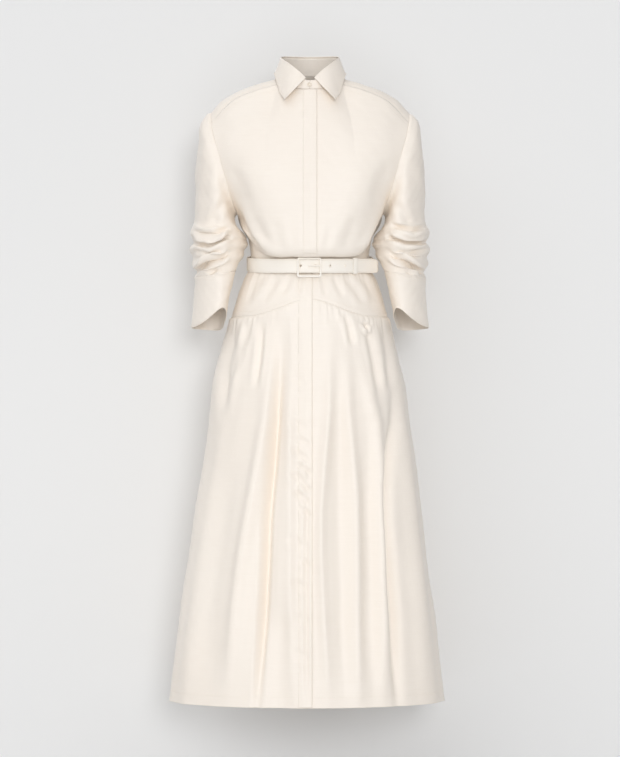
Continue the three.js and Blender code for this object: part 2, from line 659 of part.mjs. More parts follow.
// Degrees from the front centre: the strap's start, where it begins to lap over itself, where it
// lies fully on the outer layer, and where its tip leaves the curve
const BELT_TURN = { start: 6, lap: 300, lapped: 346, leave: 412 };
const BELT_TIP = 52; // straight end past the point where the tip leaves the curve
const BELT_STEP = 5;
function beltCentre(degrees, out) {
  const angle = THREE.MathUtils.degToRad(degrees);
  const depth = Math.cos(angle) > 0 ? BELT.front : BELT.back;
  const z = mix(BELT.backZ, BELT.frontZ, ease((1 + Math.cos(angle)) / 2));
  return vec((BELT.half + out) * Math.sin(angle), -(depth + out) * Math.cos(angle), z);
}
const LAYER = BELT_THICK + LAYER_GAP;
function beltMesh() {
  const path = [];
  for (let turn = BELT_TURN.start; turn <= BELT_TURN.leave; turn += BELT_STEP) {
    const layer = LAYER * ease((turn - BELT_TURN.lap) / (BELT_TURN.lapped - BELT_TURN.lap));
    path.push({ inner: beltCentre(turn, layer), outer: beltCentre(turn, layer + BELT_THICK) });
  }
  const [before, last] = path.slice(-2);
  const along = last.inner.clone().sub(before.inner).setZ(0).normalize();
  for (const share of [0.5, 1])
    path.push({
      inner: last.inner.clone().addScaledVector(along, BELT_TIP * share),
      outer: last.outer.clone().addScaledVector(along, BELT_TIP * share),
    });
  const half = BELT_HEIGHT / 2;
  const points = path.flatMap(({ inner, outer }) => [
    inner.clone().add(vec(0, 0, -half)),
    outer.clone().add(vec(0, 0, -half)),
    outer.clone().add(vec(0, 0, half)),
    inner.clone().add(vec(0, 0, half)),
  ]);
  const faces = [];
  for (let ring = 0; ring + 1 < path.length; ring++)
    for (let side = 0; side < 4; side++) {
      const [a, b] = [ring * 4 + side, ring * 4 + ((side + 1) % 4)];
      faces.push([a, b + 4, b], [a, a + 4, b + 4]);
    }
  const end = (path.length - 1) * 4;
  faces.push([0, 1, 2], [0, 2, 3], [end, end + 2, end + 1], [end, end + 3, end + 2]);
  return meshOf("belt", points, faces, silkBelt);
}

// Turns a mesh into a solid that can be cut or joined, and back.
function solidOf(geometry) {
  const bare = geometry.clone();
  bare.deleteAttribute("normal");
  bare.deleteAttribute("uv");
  const merged = mergeVertices(bare, 1e-3);
  return new wasm.Manifold(
    new wasm.Mesh({
      numProp: 3,
      vertProperties: new Float32Array(merged.attributes.position.array),
      triVerts: new Uint32Array(merged.index.array),
    }),
  );
}
function geometryOf(solid) {
  const mesh = solid.getMesh();
  const geometry = new THREE.BufferGeometry();
  const place = new THREE.BufferAttribute(new Float32Array(mesh.vertProperties), 3);
  geometry.setAttribute("position", place);
  geometry.setIndex(new THREE.BufferAttribute(new Uint32Array(mesh.triVerts), 1));
  geometry.computeVertexNormals();
  return geometry;
}

const BELT_HOLES = { count: 4, first: -18.5, pitch: 29.2, radius: 1.7 };
const DRILL = { length: 9, forward: 4.3, sides: 10 }; // passes the outer layer only
function piercedBelt() {
  const belt = beltMesh();
  let solid = solidOf(belt.geometry);
  for (let hole = 0; hole < BELT_HOLES.count; hole++) {
    const x = BELT_HOLES.first + hole * BELT_HOLES.pitch;
    const centre = beltCentre(THREE.MathUtils.radToDeg(Math.asin(x / BELT.half)), LAYER);
    const drill = new THREE.CylinderGeometry(
      BELT_HOLES.radius,
      BELT_HOLES.radius,
      DRILL.length,
      DRILL.sides,
    );
    drill.translate(centre.x, centre.y - DRILL.forward, centre.z);
    solid = solid.subtract(solidOf(drill));
  }
  belt.geometry = geometryOf(solid);
  return belt;
}

const WINDOW_CORNER = 1;
const CORNER_STEPS = 3;

// A flat plate of a rounded outline, facing the front, with an optional window.
function plate(width, height, thick, corner, window) {
  const outline = (w, h, r, path) => {
    const [x, y] = [w / 2, h / 2];
    path.moveTo(-x + r, -y);
    path.lineTo(x - r, -y);
    path.absarc(x - r, -y + r, r, -Math.PI / 2, 0);
    path.absarc(x - r, y - r, r, 0, Math.PI / 2);
    path.absarc(-x + r, y - r, r, Math.PI / 2, Math.PI);
    path.absarc(-x + r, -y + r, r, Math.PI, 1.5 * Math.PI);
    path.closePath();
    return path;
  };
  const shape = outline(width, height, corner, new THREE.Shape());
  if (window) shape.holes.push(outline(window.width, window.height, WINDOW_CORNER, new THREE.Path()));
  const settings = { depth: thick, bevelEnabled: false, curveSegments: CORNER_STEPS };
  const geometry = new THREE.ExtrudeGeometry(shape, settings);
  return geometry.rotateX(Math.PI / 2);
}

const BUCKLE = { width: 51, height: 41, bar: 4.2, thick: 3.4, x: -1.5, z: -376, corner: 4 };
const BUCKLE_CLEAR = 0.5;
const BUCKLE_FRONT = -(BELT.front + LAYER + BELT_THICK + BUCKLE_CLEAR);
function buckleFrame() {
  const window = { width: BUCKLE.width - 2 * BUCKLE.bar, height: BUCKLE.height - 2 * BUCKLE.bar };
  const frame = plate(BUCKLE.width, BUCKLE.height, BUCKLE.thick, BUCKLE.corner, window);
  frame.translate(BUCKLE.x, BUCKLE_FRONT, BUCKLE.z);
  const mesh = new THREE.Mesh(frame, silkBelt);
  mesh.name = "buckle_frame";
  return mesh;
}
// The prong lies on the frame, from just past its middle to its bar at the wearer's left
const PRONG = { height: 3.4, thick: 1.8, corner: 0.8, past: 3, longer: 1, clear: 0.3, up: 3 };
function buckleProng() {
  const length = BUCKLE.width / 2 + PRONG.longer;
  const prong = plate(length, PRONG.height, PRONG.thick, PRONG.corner, null);
  prong.translate(
    BUCKLE.x + length / 2 - PRONG.past,
    BUCKLE_FRONT - BUCKLE.thick - PRONG.clear,
    BUCKLE.z + PRONG.up,
  );
  const mesh = new THREE.Mesh(prong, silkBelt);
  mesh.name = "buckle_prong";
  return mesh;
}

// A loop of the belt's cloth round both layers of the strap
const KEEPER = { at: 44, width: 12, thick: 1.2, clear: 0.35, bow: 0.25 };
function beltKeeper() {
  const centre = beltCentre(KEEPER.at, LAYER);
  const ahead = beltCentre(KEEPER.at + 2, LAYER);
  const along = Math.atan2(ahead.y - centre.y, ahead.x - centre.x);
  const deep = LAYER + BELT_THICK + 2 * (KEEPER.clear + KEEPER.thick + KEEPER.bow);
  const high = BELT_HEIGHT + 2 * (KEEPER.clear + KEEPER.thick);
  const shape = new THREE.Shape();
  const [x, y] = [deep / 2, high / 2];
  shape.moveTo(-x, -y).lineTo(x, -y).lineTo(x, y).lineTo(-x, y).closePath();
  const hole = new THREE.Path();
  const [u, v] = [x - KEEPER.thick, y - KEEPER.thick];
  hole.moveTo(-u, -v).lineTo(u, -v).lineTo(u, v).lineTo(-u, v).closePath();
  shape.holes.push(hole);
  const loop = new THREE.ExtrudeGeometry(shape, { depth: KEEPER.width, bevelEnabled: false });
  loop.translate(0, 0, -KEEPER.width / 2);
  loop.rotateX(Math.PI / 2);
  const mesh = new THREE.Mesh(loop, silkBelt);
  mesh.rotation.z = along + Math.PI / 2;
  const middle = beltCentre(KEEPER.at, (LAYER + BELT_THICK) / 2);
  mesh.position.copy(middle);
  mesh.name = "belt_keeper";
  return mesh;
}

const BUTTON = { radius: 4.6, thick: 2.2, sides: 16, x: -1, y: -77.5, z: 6 };
function collarButton() {
  const disc = new THREE.CylinderGeometry(BUTTON.radius, BUTTON.radius, BUTTON.thick, BUTTON.sides);
  const mesh = new THREE.Mesh(disc, shell);
  mesh.position.set(BUTTON.x, BUTTON.y, BUTTON.z);
  mesh.name = "collar_button";
  return mesh;
}

const dress = new THREE.Group();
sheets.forEach((sheet) => dress.add(sheetMesh(sheet)));
dress.add(stripMesh("placket_bodice", bodicePlacketRows, PLACKET.bodiceCentre));
dress.add(stripMesh("placket_skirt", skirtPlacketRows, PLACKET.skirtCentre));
dress.add(piercedBelt(), buckleFrame(), buckleProng(), beltKeeper(), collarButton());

export default dress;
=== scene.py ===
"""Ivory silk shirt dress, filled out as if worn, in a plain pale studio.

Every size is in millimetres until a mesh is made, and the frame is the construction's own:
+Z up, -Y the front, +X the wearer's left, and the origin in the middle of the neck.
"""

from __future__ import annotations

import logging
import math
from dataclasses import dataclass, field
from enum import Enum

import bmesh
import bpy
import numpy as np
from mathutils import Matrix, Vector


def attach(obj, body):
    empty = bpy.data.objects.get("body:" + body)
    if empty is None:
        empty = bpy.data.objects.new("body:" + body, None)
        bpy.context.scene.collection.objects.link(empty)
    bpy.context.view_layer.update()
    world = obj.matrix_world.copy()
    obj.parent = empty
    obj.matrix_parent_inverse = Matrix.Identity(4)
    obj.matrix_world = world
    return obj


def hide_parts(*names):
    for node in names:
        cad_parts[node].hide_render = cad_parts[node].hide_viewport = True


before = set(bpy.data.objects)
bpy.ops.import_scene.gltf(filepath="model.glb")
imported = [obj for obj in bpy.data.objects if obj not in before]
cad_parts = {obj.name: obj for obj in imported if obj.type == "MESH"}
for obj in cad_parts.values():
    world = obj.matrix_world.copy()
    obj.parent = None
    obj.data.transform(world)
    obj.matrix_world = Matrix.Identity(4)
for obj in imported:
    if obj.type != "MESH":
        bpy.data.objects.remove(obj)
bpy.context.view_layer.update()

log = logging.getLogger("shirt_dress")

MM = 0.001
Array = np.ndarray
BODY = "root"


class Slot(str, Enum):
    """Names of material slots, passed along with the pieces; nothing here reads them."""

    SILK = "silk"
    BELT = "belt_silk"
    BUTTON = "shell_button"


class Facing(Enum):
    """Which half of the bodice a panel is."""

    FRONT = -1
    BACK = 1


# Curves and tables


def ease(value: Array | float) -> Array | float:
    """Smooth step from 0 to 1."""
    clipped = np.clip(value, 0.0, 1.0)
    return clipped * clipped * (3 - 2 * clipped)


def bell(value: Array | float) -> Array | float:
    """Bell curve, 1 in the middle."""
    return np.exp(-np.square(value))


def mix(low: Array | float, high: Array | float, share: Array | float) -> Array | float:
    """Straight blend of two values."""
    return low + (high - low) * share


def table(*rows: tuple[float, ...]) -> Array:
    """A dataclass field that holds rows of sizes."""
    return field(default_factory=lambda: np.array(rows, dtype=float))


def smooth_table(keys: Array, values: Array, at: Array) -> Array:
    """Reads a table along a smooth curve through its rows.

    Args:
        keys: the rows' keys, rising.
        values: the rows' values.
        at: where to read.

    Returns:
        One value for each place.
    """
    at = np.clip(at, keys[0], keys[-1])
    after = np.clip(np.searchsorted(keys, at), 1, len(keys) - 1)
    slopes = np.gradient(values, keys, axis=0)
    slopes[1:-1] = (values[2:] - values[:-2]) / (keys[2:] - keys[:-2])
    low, high = after - 1, after
    span = keys[high] - keys[low]
    share = (at - keys[low]) / span
    bend = share * (1 - share) ** 2 * slopes[low] - share**2 * (1 - share) * slopes[high]
    return mix(values[low], values[high], ease(share)) + span * bend


def route(points: Array, at: Array, closed: bool) -> Array:
    """Centripetal curve through points, as the construction draws it.

    Args:
        points: the points that the curve runs through.
        at: shares of the curve, from 0 to 1.
        closed: whether the curve joins its own start.

    Returns:
        One point for each share.
    """
    count = len(points)
    place = np.asarray(at) * (count if closed else count - 1)
    start = np.floor(place).astype(int)
    if not closed:
        start = np.minimum(start, count - 2)
    share = (place - start)[..., None]
    if closed:
        p0, p1, p2, p3 = (points[(start + step) % count] for step in (-1, 0, 1, 2))
    else:
        ends = np.vstack([2 * points[0] - points[1], points, 2 * points[-1] - points[-2]])
        p0, p1, p2, p3 = (ends[start + step] for step in (0, 1, 2, 3))
    gaps = [np.linalg.norm(b - a, axis=-1, keepdims=True) ** 0.5 for a, b in ((p0, p1), (p1, p2), (p2, p3))]
    d0, d1, d2 = (np.maximum(gap, 1e-4) for gap in gaps)
    t1 = ((p1 - p0) / d0 - (p2 - p0) / (d0 + d1) + (p2 - p1) / d1) * d1
    t2 = ((p2 - p1) / d1 - (p3 - p1) / (d1 + d2) + (p3 - p2) / d2) * d1
    cubic = 2 * p1 - 2 * p2 + t1 + t2
    square = -3 * p1 + 3 * p2 - 2 * t1 - t2
    return p1 + t1 * share + square * share**2 + cubic * share**3


def refine(grid: Array, at: Array) -> Array:
    """Reads a grid's rows along smooth curves.

    Args:
        grid: rows of points.
        at: row numbers, fractions allowed.

    Returns:
        One row for each number.
    """
    slopes = np.gradient(grid, axis=0)
    low = np.clip(np.floor(at).astype(int), 0, len(grid) - 2)
    share = (at - low)[:, None, None]
    bend = share * (1 - share) ** 2 * slopes[low] - share**2 * (1 - share) * slopes[low + 1]
    return mix(grid[low], grid[low + 1], ease(share)) + bend


def stations(start: float, end: float, count: int, *more: float) -> Array:
    """Even places from start to end, and a few more."""
    return np.unique(np.concatenate([np.linspace(start, end, count), more]))


def spaced(count: int, margin: float = 0.006) -> Array:
    """Even shares from 0 to 1, with a few more close to both ends for the seams."""
    return stations(0, 1, count, margin * 0.4, margin, 1 - margin, 1 - margin * 0.4)


# Creases


VIEW_DISTANCE = 8000.0
VIEW_Z = -606.0
SEAM_REACH = 3.0


def seen(grid: Array) -> tuple[Array, Array]:
    """Where the camera sees points, on the upright plane through the garment's middle."""
    near = VIEW_DISTANCE / (VIEW_DISTANCE + grid[..., 1])
    return grid[..., 0] * near, VIEW_Z + (grid[..., 2] - VIEW_Z) * near


@dataclass(frozen=True)
class Crease:
    """A soft trough (depth below 0) or ridge laid along a path seen from the front.

    Attributes:
        path: (x, z) points in millimetres, as the camera sees them.
        depth: how far it stands out, in millimetres.
        width: half its width, in millimetres.
        lip: how much cloth is pushed up beside it, as a share of its depth.
    """

    path: tuple[tuple[float, float], ...]
    depth: float
    width: float
    lip: float = 0.0

    def lift(self, x: Array, z: Array) -> Array:
        """How far the crease moves the cloth out.

        Args:
            x: places across, in millimetres.
            z: places up, in millimetres.

        Returns:
            Millimetres outwards for each place.
        """
        points = np.array(self.path)
        lengths = np.concatenate([[0], np.cumsum(np.linalg.norm(np.diff(points, axis=0), axis=1))])
        nearest = np.full(x.shape, np.inf)
        along = np.zeros(x.shape)
        for index, (start, end) in enumerate(zip(points[:-1], points[1:])):
            step = end - start
            share = ((x - start[0]) * step[0] + (z - start[1]) * step[1]) / (step @ step)
            share = np.clip(share, 0, 1)
            away = np.hypot(x - start[0] - share * step[0], z - start[1] - share * step[1])
            closer = away < nearest
            nearest = np.where(closer, away, nearest)
            along = np.where(closer, lengths[index] + share * (lengths[index + 1] - lengths[index]), along)
        total = lengths[-1]
        taper = ease(along / (0.3 * total)) * ease((total - along) / (0.3 * total))
        across = nearest / self.width
        profile = bell(across) - self.lip * bell((across - 1.9) / 0.9)
        return self.depth * taper * profile


def lift_all(creases: tuple[Crease, ...], grid: Array) -> Array:
    """Sum of several creases over a grid of points."""
    x, z = seen(grid)
    out = np.zeros(grid.shape[:-1])
    for crease in creases:
        out += crease.lift(x, z)
    return out


def grid_normals(grid: Array, closed: bool) -> Array:
    """Unit normals of a grid of points (rows, columns, 3), by differences."""
    rows = np.gradient(grid, axis=0)
    if closed:
        columns = (np.roll(grid, -1, axis=1) - np.roll(grid, 1, axis=1)) / 2
    else:
        columns = np.gradient(grid, axis=1)
    normals = np.cross(columns, rows)
    return normals / np.maximum(np.linalg.norm(normals, axis=-1, keepdims=True), 1e-9)


def wander(grid: Array, seed: int, size: float) -> Array:
    """Gentle uneven swell of cloth: a few seeded waves, about 1 in height.

    Args:
        grid: points, in millimetres.
        seed: which swell.
        size: the typical length of a wave, in millimetres.

    Returns:
        One height for each point.
    """
    random = np.random.default_rng(seed)
    out = np.zeros(grid.shape[:-1])
    for _ in range(7):
        way = random.normal(size=3)
        way *= 2 * math.pi / (size * random.uniform(0.7, 1.6) * np.linalg.norm(way))
        out += np.sin(grid @ way + random.uniform(0, 2 * math.pi))
    return out / 3


# Meshes


def placed(name: str, data: bpy.types.ID) -> bpy.types.Object:
    """A new object in the scene."""
    made = bpy.data.objects.new(name, data)
    bpy.context.scene.collection.objects.link(made)
    return made


def new_object(name: str, grid: Array, faces: list[tuple[int, ...]]) -> bpy.types.Object:
    """Makes a mesh object from points in millimetres.

    Args:
        name: the object's name.
        grid: points, in rows or in one list.
        faces: corners of each face.

    Returns:
        The object, smooth shaded, at the origin.
    """
    mesh = bpy.data.meshes.new(name)
    mesh.from_pydata((np.asarray(grid).reshape(-1, 3) * MM).tolist(), [], faces)
    mesh.validate()
    mesh.shade_smooth()
    return placed(name, mesh)


def grid_faces(rows: int, columns: int, closed: bool, ring: bool = False) -> list[tuple[int, ...]]:
    """Quads of a grid, as corner indices.

    Args:
        rows: how many rows.
        columns: how many columns.
        closed: whether the last column joins the first.
        ring: whether the last row joins the first.

    Returns:
        The faces.
    """
    faces = []
    for row in range(rows if ring else rows - 1):
        here, there = row * columns, (row + 1) % rows * columns
        for column in range(columns if closed else columns - 1):
            after = (column + 1) % columns
            faces.append((here + column, here + after, there + after, there + column))
    return faces


def capped(rows: int, columns: int) -> list[tuple[int, ...]]:
    """Quads of a tube, and a face over each of its ends."""
    last = (rows - 1) * columns
    caps = [tuple(range(columns)), tuple(range(last, last + columns))]
    return grid_faces(rows, columns, True) + caps


def facing(grid: Array, closed: bool, inside: Vector) -> float:
    """Whether a grid's normals point away from its inside.

    Args:
        grid: points, in millimetres.
        closed: whether the last column joins the first.
        inside: a point inside; its height is taken from the cloth if NaN.

    Returns:
        1 if they point away from it, -1 if towards it.
    """
    centre = np.broadcast_to(np.array(inside), grid.shape).copy()
    centre[..., 2] = np.where(np.isnan(centre[..., 2]), grid[..., 2], centre[..., 2])
    return float(np.sign(np.sum(grid_normals(grid, closed) * (grid - centre))))


def sheet_object(name: str, grid: Array, closed: bool, inside: Vector, wall: float = 1.1) -> bpy.types.Object:
    """Makes a thin cloth shell from a grid on its outside.

    Args:
        name: the object's name.
        grid: points (rows, columns, 3), in millimetres.
        closed: whether the last column joins the first.
        inside: a point that the cloth faces away from, as for facing.
        wall: thickness of the cloth.

    Returns:
        The object, with its wall as a live modifier.
    """
    faces = grid_faces(*grid.shape[:2], closed)
    if facing(grid, closed, inside) < 0:
        faces = [tuple(reversed(face)) for face in faces]
    made = new_object(name, grid, faces)
    shell = made.modifiers.new("wall", "SOLIDIFY")
    shell.thickness = wall * MM
    shell.offset = -1
    shell.use_even_offset = False
    return made


AXIS = Vector((0, 0, math.nan))


def push_out(grid: Array, out: Array, closed: bool, inside: Vector) -> Array:
    """Moves a grid's points along its normals, away from its inside.

    Args:
        grid: points, in millimetres.
        out: how far, in millimetres.
        closed: whether the grid closes on itself.
        inside: a point that the cloth faces away from, as for facing.

    Returns:
        The moved grid.
    """
    return grid + grid_normals(grid, closed) * (facing(grid, closed, inside) * out)[..., None]


def seam_dip(shares: Array, length: float, depth: float) -> Array:
    """How far the cloth dips towards the seams at both ends of a row.

    Args:
        shares: places along the row, from 0 to 1.
        length: the row's length, in millimetres.
        depth: how deep the seam lies.

    Returns:
        Millimetres inwards, below 0, for each place.
    """
    return -depth * (bell(shares * length / SEAM_REACH) + bell((1 - shares) * length / SEAM_REACH))


# The cut


@dataclass
class Cut:
    """The dress's own sizes, as its construction has them."""

    waist_z: float = -372
    hem_z: float = -1281
    hem_lean: float = -7
    half_columns: int = 12
    neck_columns: int = 5
    sleeve_columns: int = 24
    yoke_end: int = 2
    neck_seam_share: float = 0.36
    # rows: height, half the width, depth of the front, depth of the back
    sections: Array = table(
        (-1281, 288, 212, 240),
        (-1130, 269, 203, 226),
        (-1029, 254, 195, 216),
        (-928, 239, 187, 206),
        (-828, 227, 178, 196),
        (-727, 214, 168, 184),
        (-626, 203, 157, 170),
        (-575, 190, 150, 160),
        (-525, 177, 142, 148),
        (-449, 156, 126, 128),
        (-400, 139, 108, 112),
        (-372, 122, 100, 98),
    )
    armhole: Array = table(
        (208, 8, -48),
        (204, -44, -86),
        (187, -74, -150),
        (167, -60, -220),
        (152, 4, -262),
        (165, 66, -218),
        (185, 84, -148),
        (203, 58, -84),
    )
    # the bodice's lowest rows: height in the middle, height at the side, depth, edge, bow
    front_low: Array = table(
        (-372, -372, 100, 122, 1), (-352, -338, 104, 125, 1.6), (-355, -304, 127, 131, 2.2)
    )
    back_low: Array = table(
        (-372, -372, 98, 122, 1), (-337, -338, 101, 125, 1.6), (-338, -304, 116, 131, 2.2)
    )
    # its rows above them: share of the way up, height in the middle, depth, turn in degrees, bow
    front_high: Array = table(
        (0, -342, 139, 88, 2.3),
        (0.1, -318, 139, 75, 2),
        (0.3, -256, 134, 55, 1.7),
        (0.5, -180, 128, 42, 1.5),
        (0.75, -85, 108, 38, 1.6),
        (1, -3, 77, 35, 2),
    )
    back_high: Array = table(
        (0, -327, 127, 88, 2.3),
        (0.1, -308, 129, 75, 2),
        (0.3, -262, 124, 55, 1.7),
        (0.5, -200, 120, 42, 1.5),
        (0.75, -130, 112, 38, 1.3),
        (1, -82, 96, 35, 1),
    )
    # the shoulder's ridge: x and height
    ridge: Array = table(
        (71, 26), (94, 20), (130, 6), (170, -12), (193, -28), (208, -48)
    )

    def half_width(self, z: Array) -> Array:
        """Half the width of the skirt or hips at a height."""
        return smooth_table(self.sections[:, 0], self.sections[:, 1], z)

    def body(self, angle: Array, z: Array, out: Array | float = 0.0) -> Array:
        """Points of the skirt or hips.

        Args:
            angle: radians from the front centre towards the wearer's left.
            z: heights.
            out: how far the folds push the cloth out.

        Returns:
            Points, in millimetres.
        """
        keys = self.sections[:, 0]
        half = self.half_width(z)
        front = smooth_table(keys, self.sections[:, 2], z)
        back = smooth_table(keys, self.sections[:, 3], z)
        depth = np.where(np.cos(angle) > 0, front, back)
        lean = self.lean(z)
        x, y = (half + out) * np.sin(angle) + lean, -(depth + out) * np.cos(angle)
        return np.stack([x, y, z + 0 * angle], axis=-1)

    def lean(self, z: Array | float) -> Array | float:
        """How far the skirt's middle has moved to the wearer's right at a height."""
        return self.hem_lean * np.clip((z - self.waist_z) / (self.hem_z - self.waist_z), 0, 1)

    def hip_seam(self, angle: Array) -> Array:
        """Height of the hip yoke's lower seam."""
        curve = mix(-441, -476, ease(np.abs(np.sin(angle)) / 0.8))
        return np.where(np.cos(angle) < 0, -476, curve)

    def arm(self, steps: Array) -> Array:
        """Points of the left armhole, by steps from its top round the front."""
        return route(self.armhole, (np.asarray(steps) / self.sleeve_columns) % 1.0, True)

    def neck(self, share: Array) -> Array:
        """Points of the left half of the neckline, from the front centre to the back centre."""
        share = np.asarray(share, dtype=float)
        angle = share * math.pi
        depth = np.where(share < 0.5, 77, 62)
        z = np.where(share < 0.5, mix(-3, 23, 1 - np.cos(angle)), mix(23, 33, -np.cos(angle)))
        return np.stack([71 * np.sin(angle), -depth * np.cos(angle), z], axis=-1)

    def front_top(self, column: Array) -> Array:
        """Top edge of the front: the neckline, then the shoulder yoke's front seam."""
        column = np.asarray(column, dtype=float)
        start, end = self.neck(self.neck_seam_share), self.arm(self.yoke_end)
        seam = np.array([start, (112, -38, -2), (160, -36, -23), end])
        share = np.clip((column - self.neck_columns) / (self.half_columns - self.neck_columns), 0, 1)
        neck = self.neck(np.minimum(column, self.neck_columns) / self.neck_columns * self.neck_seam_share)
        return np.where((column <= self.neck_columns)[..., None], neck, route(seam, share, False))

    def bodice(self, facing: Facing, rows: Array, shares: Array) -> Array:
        """Points of the left half of a bodice panel.

        Args:
            facing: front or back.
            rows: places up the panel, in the construction's rows from 0 to 13.
            shares: places across, from the centre line to the edge.

        Returns:
            A grid (rows, shares, 3), in millimetres.
        """
        front = facing is Facing.FRONT
        low, high = (self.front_low, self.front_high) if front else (self.back_low, self.back_high)
        last = 12 - self.yoke_end
        up = np.arange(last + 1) / last
        read = [np.interp(up, high[:, 0], high[:, column]) for column in range(1, 5)]
        keys = np.arange(3 + last + 1, dtype=float)
        centre = smooth_table(keys, np.concatenate([low[:, 0], read[0]]), rows)
        depth = smooth_table(keys, np.concatenate([low[:, 2], read[1]]), rows)
        turn = np.radians(smooth_table(keys, np.concatenate([[90] * 3, read[2]]), rows))
        bow = smooth_table(keys, np.concatenate([low[:, 4], read[3]]), rows)
        steps = 12 + facing.value * np.maximum(rows - 3, 0)
        edge = self.arm(steps)
        lows = np.array([(row[3], 2, row[1]) for row in low] + [self.arm(12)])
        under = np.stack([np.interp(rows, keys[:4], lows[:, axis]) for axis in range(3)], axis=-1)
        edge = np.where((rows < 3)[:, None], under, edge)
        x, y = self._across(facing.value, depth, turn, edge, shares)
        z = mix(centre[:, None], edge[:, 2][:, None], shares[None, :] ** bow[:, None])
        grid = np.stack([x, y, z], axis=-1)
        if front:
            fit = np.interp(3 + last - rows, np.arange(6), [1, 0.72, 0.46, 0.25, 0.1, 0])
            grid = grid + fit[:, None, None] * self._to_top(shares)[None]
        return grid

    def _across(self, side: int, depth: Array, turn: Array, edge: Array, shares: Array) -> list[Array]:
        """Curves across half a panel, from the centre line to its edge.

        Args:
            side: -1 in front, 1 behind.
            depth: of the centre line, for each row.
            turn: how far the cloth has turned at the edge, in radians.
            edge: points of the edge.
            shares: places across.

        Returns:
            x and y, each by rows and shares.
        """
        reach = 0.5 * edge[:, 0]
        corners = np.array(
            [
                [0 * depth, side * depth],
                [0.62 * edge[:, 0], side * depth],
                [edge[:, 0] - reach * np.cos(turn), edge[:, 1] + side * reach * np.sin(turn)],
                [edge[:, 0], edge[:, 1]],
            ]
        )
        t = shares[None, :]
        weights = [(1 - t) ** 3, 3 * t * (1 - t) ** 2, 3 * t**2 * (1 - t), t**3]
        return [sum(w * corners[i, axis][:, None] for i, w in enumerate(weights)) for axis in (0, 1)]

    def _to_top(self, shares: Array) -> Array:
        """From the front's plain last row to its real top edge."""
        edge = self.arm(self.yoke_end)
        _, centre, depth, turn, bow = self.front_high[-1]
        x, y = self._across(-1, np.array([depth]), np.radians([turn]), edge[None], shares)
        plain = np.stack([x[0], y[0], mix(centre, edge[2], shares**bow)], axis=-1)
        return self.front_top(shares * self.half_columns) - plain

    def yoke(self, rows: Array, columns: Array) -> Array:
        """Points of the left half of the shoulder yoke.

        Args:
            rows: places from the front seam (0) to the back seam (4).
            columns: places from the back centre (0) to the armhole (12).

        Returns:
            A grid (rows, columns, 3), in millimetres.
        """
        back_top = self.bodice(Facing.BACK, np.array([13.0]), columns / self.half_columns)[0]
        whole = np.arange(self.half_columns + 1, dtype=float)
        whole_back = self.bodice(Facing.BACK, np.array([13.0]), whole / self.half_columns)[0]
        middles = []
        for column in whole:
            back = whole_back[int(column)]
            if column < self.neck_columns:
                share = 1 - column / self.neck_columns * (1 - self.neck_seam_share)
                start = self.neck(share)
                bulge = 10 + 24 * (column / (self.neck_columns - 1)) ** 3
                middles.append((start + back) / 2 + (0, 5, bulge))
                continue
            start = self.front_top(column)
            outward = (column - self.neck_columns) / (self.half_columns - self.neck_columns)
            x = mix(start[0], back[0], 0.45)
            z = smooth_table(self.ridge[:, 0], self.ridge[:, 1], np.array(x)) - 12 * (1 - outward)
            middles.append(np.array([x, mix(34, 11, outward), float(z)]))
        middles = np.array(middles)
        middle = np.stack([smooth_table(whole, middles[:, axis], columns) for axis in range(3)], axis=-1)
        at_neck = np.minimum(columns, self.neck_columns) / self.neck_columns
        neck_share = 1 - at_neck * (1 - self.neck_seam_share)
        start = np.where(
            (columns < self.neck_columns)[:, None], self.neck(neck_share), self.front_top(columns)
        )
        control = 2 * middle - (start + back_top) / 2
        t = (rows / 4)[:, None, None]
        grid = (1 - t) ** 2 * start + 2 * t * (1 - t) * control + t**2 * back_top
        edge = self.arm(self.yoke_end - rows)
        plain_edge = (1 - t[:, 0]) ** 2 * start[-1] + 2 * t[:, 0] * (1 - t[:, 0]) * control[-1]
        plain_edge = plain_edge + t[:, 0] ** 2 * back_top[-1]
        fit = np.interp(self.half_columns - columns, [0, 1, 2, 3], [1, 0.55, 0.2, 0])
        return grid + fit[None, :, None] * (edge - plain_edge)[:, None, :]


def sided(grid: Array, side: float) -> Array:
    """A grid of the wearer's left as it is (1), or mirrored to the right (-1)."""
    return grid * np.array([side, 1.0, 1.0])


def across(grid: Array) -> Array:
    """A half grid joined to its mirror image over the centre line."""
    return np.concatenate([sided(grid[:, :0:-1], -1), grid], axis=1)


# Finishes


Output = tuple[bpy.types.Node, str | int]
Link = tuple[bpy.types.Node, str | int, bpy.types.Node, str | int]


def preset(node: bpy.types.Node, **values: object) -> None:
    """Sets inputs of a node; an underscore stands for a space in a name."""
    for name, value in values.items():
        node.inputs[name.replace("_", " ")].default_value = value


def add(tree: bpy.types.NodeTree, kind: str, **values: object) -> bpy.types.Node:
    """Adds a node to a tree.

    Args:
        tree: the tree.
        kind: the node's type.
        values: what its inputs are set to, as for preset.

    Returns:
        The node.
    """
    made = tree.nodes.new(kind)
    preset(made, **values)
    return made


def wire(tree: bpy.types.NodeTree, *links: Link) -> None:
    """Links nodes of a tree, each time from a node's output to a node's input."""
    for source, output, target, name in links:
        tree.links.new(source.outputs[output], target.inputs[name])


def new_group(name: str, kind: str, inputs: dict[str, str], outputs: dict[str, str]) -> bpy.types.NodeTree:
    """Makes an empty node group.

    Args:
        name: its name.
        kind: the type of tree.
        inputs: type of each input.
        outputs: type of each output.

    Returns:
        The group.
    """
    group = bpy.data.node_groups.new(name, kind)
    for way, sockets in (("INPUT", inputs), ("OUTPUT", outputs)):
        for socket, content in sockets.items():
            group.interface.new_socket(socket, in_out=way, socket_type=f"NodeSocket{content}")
    return group


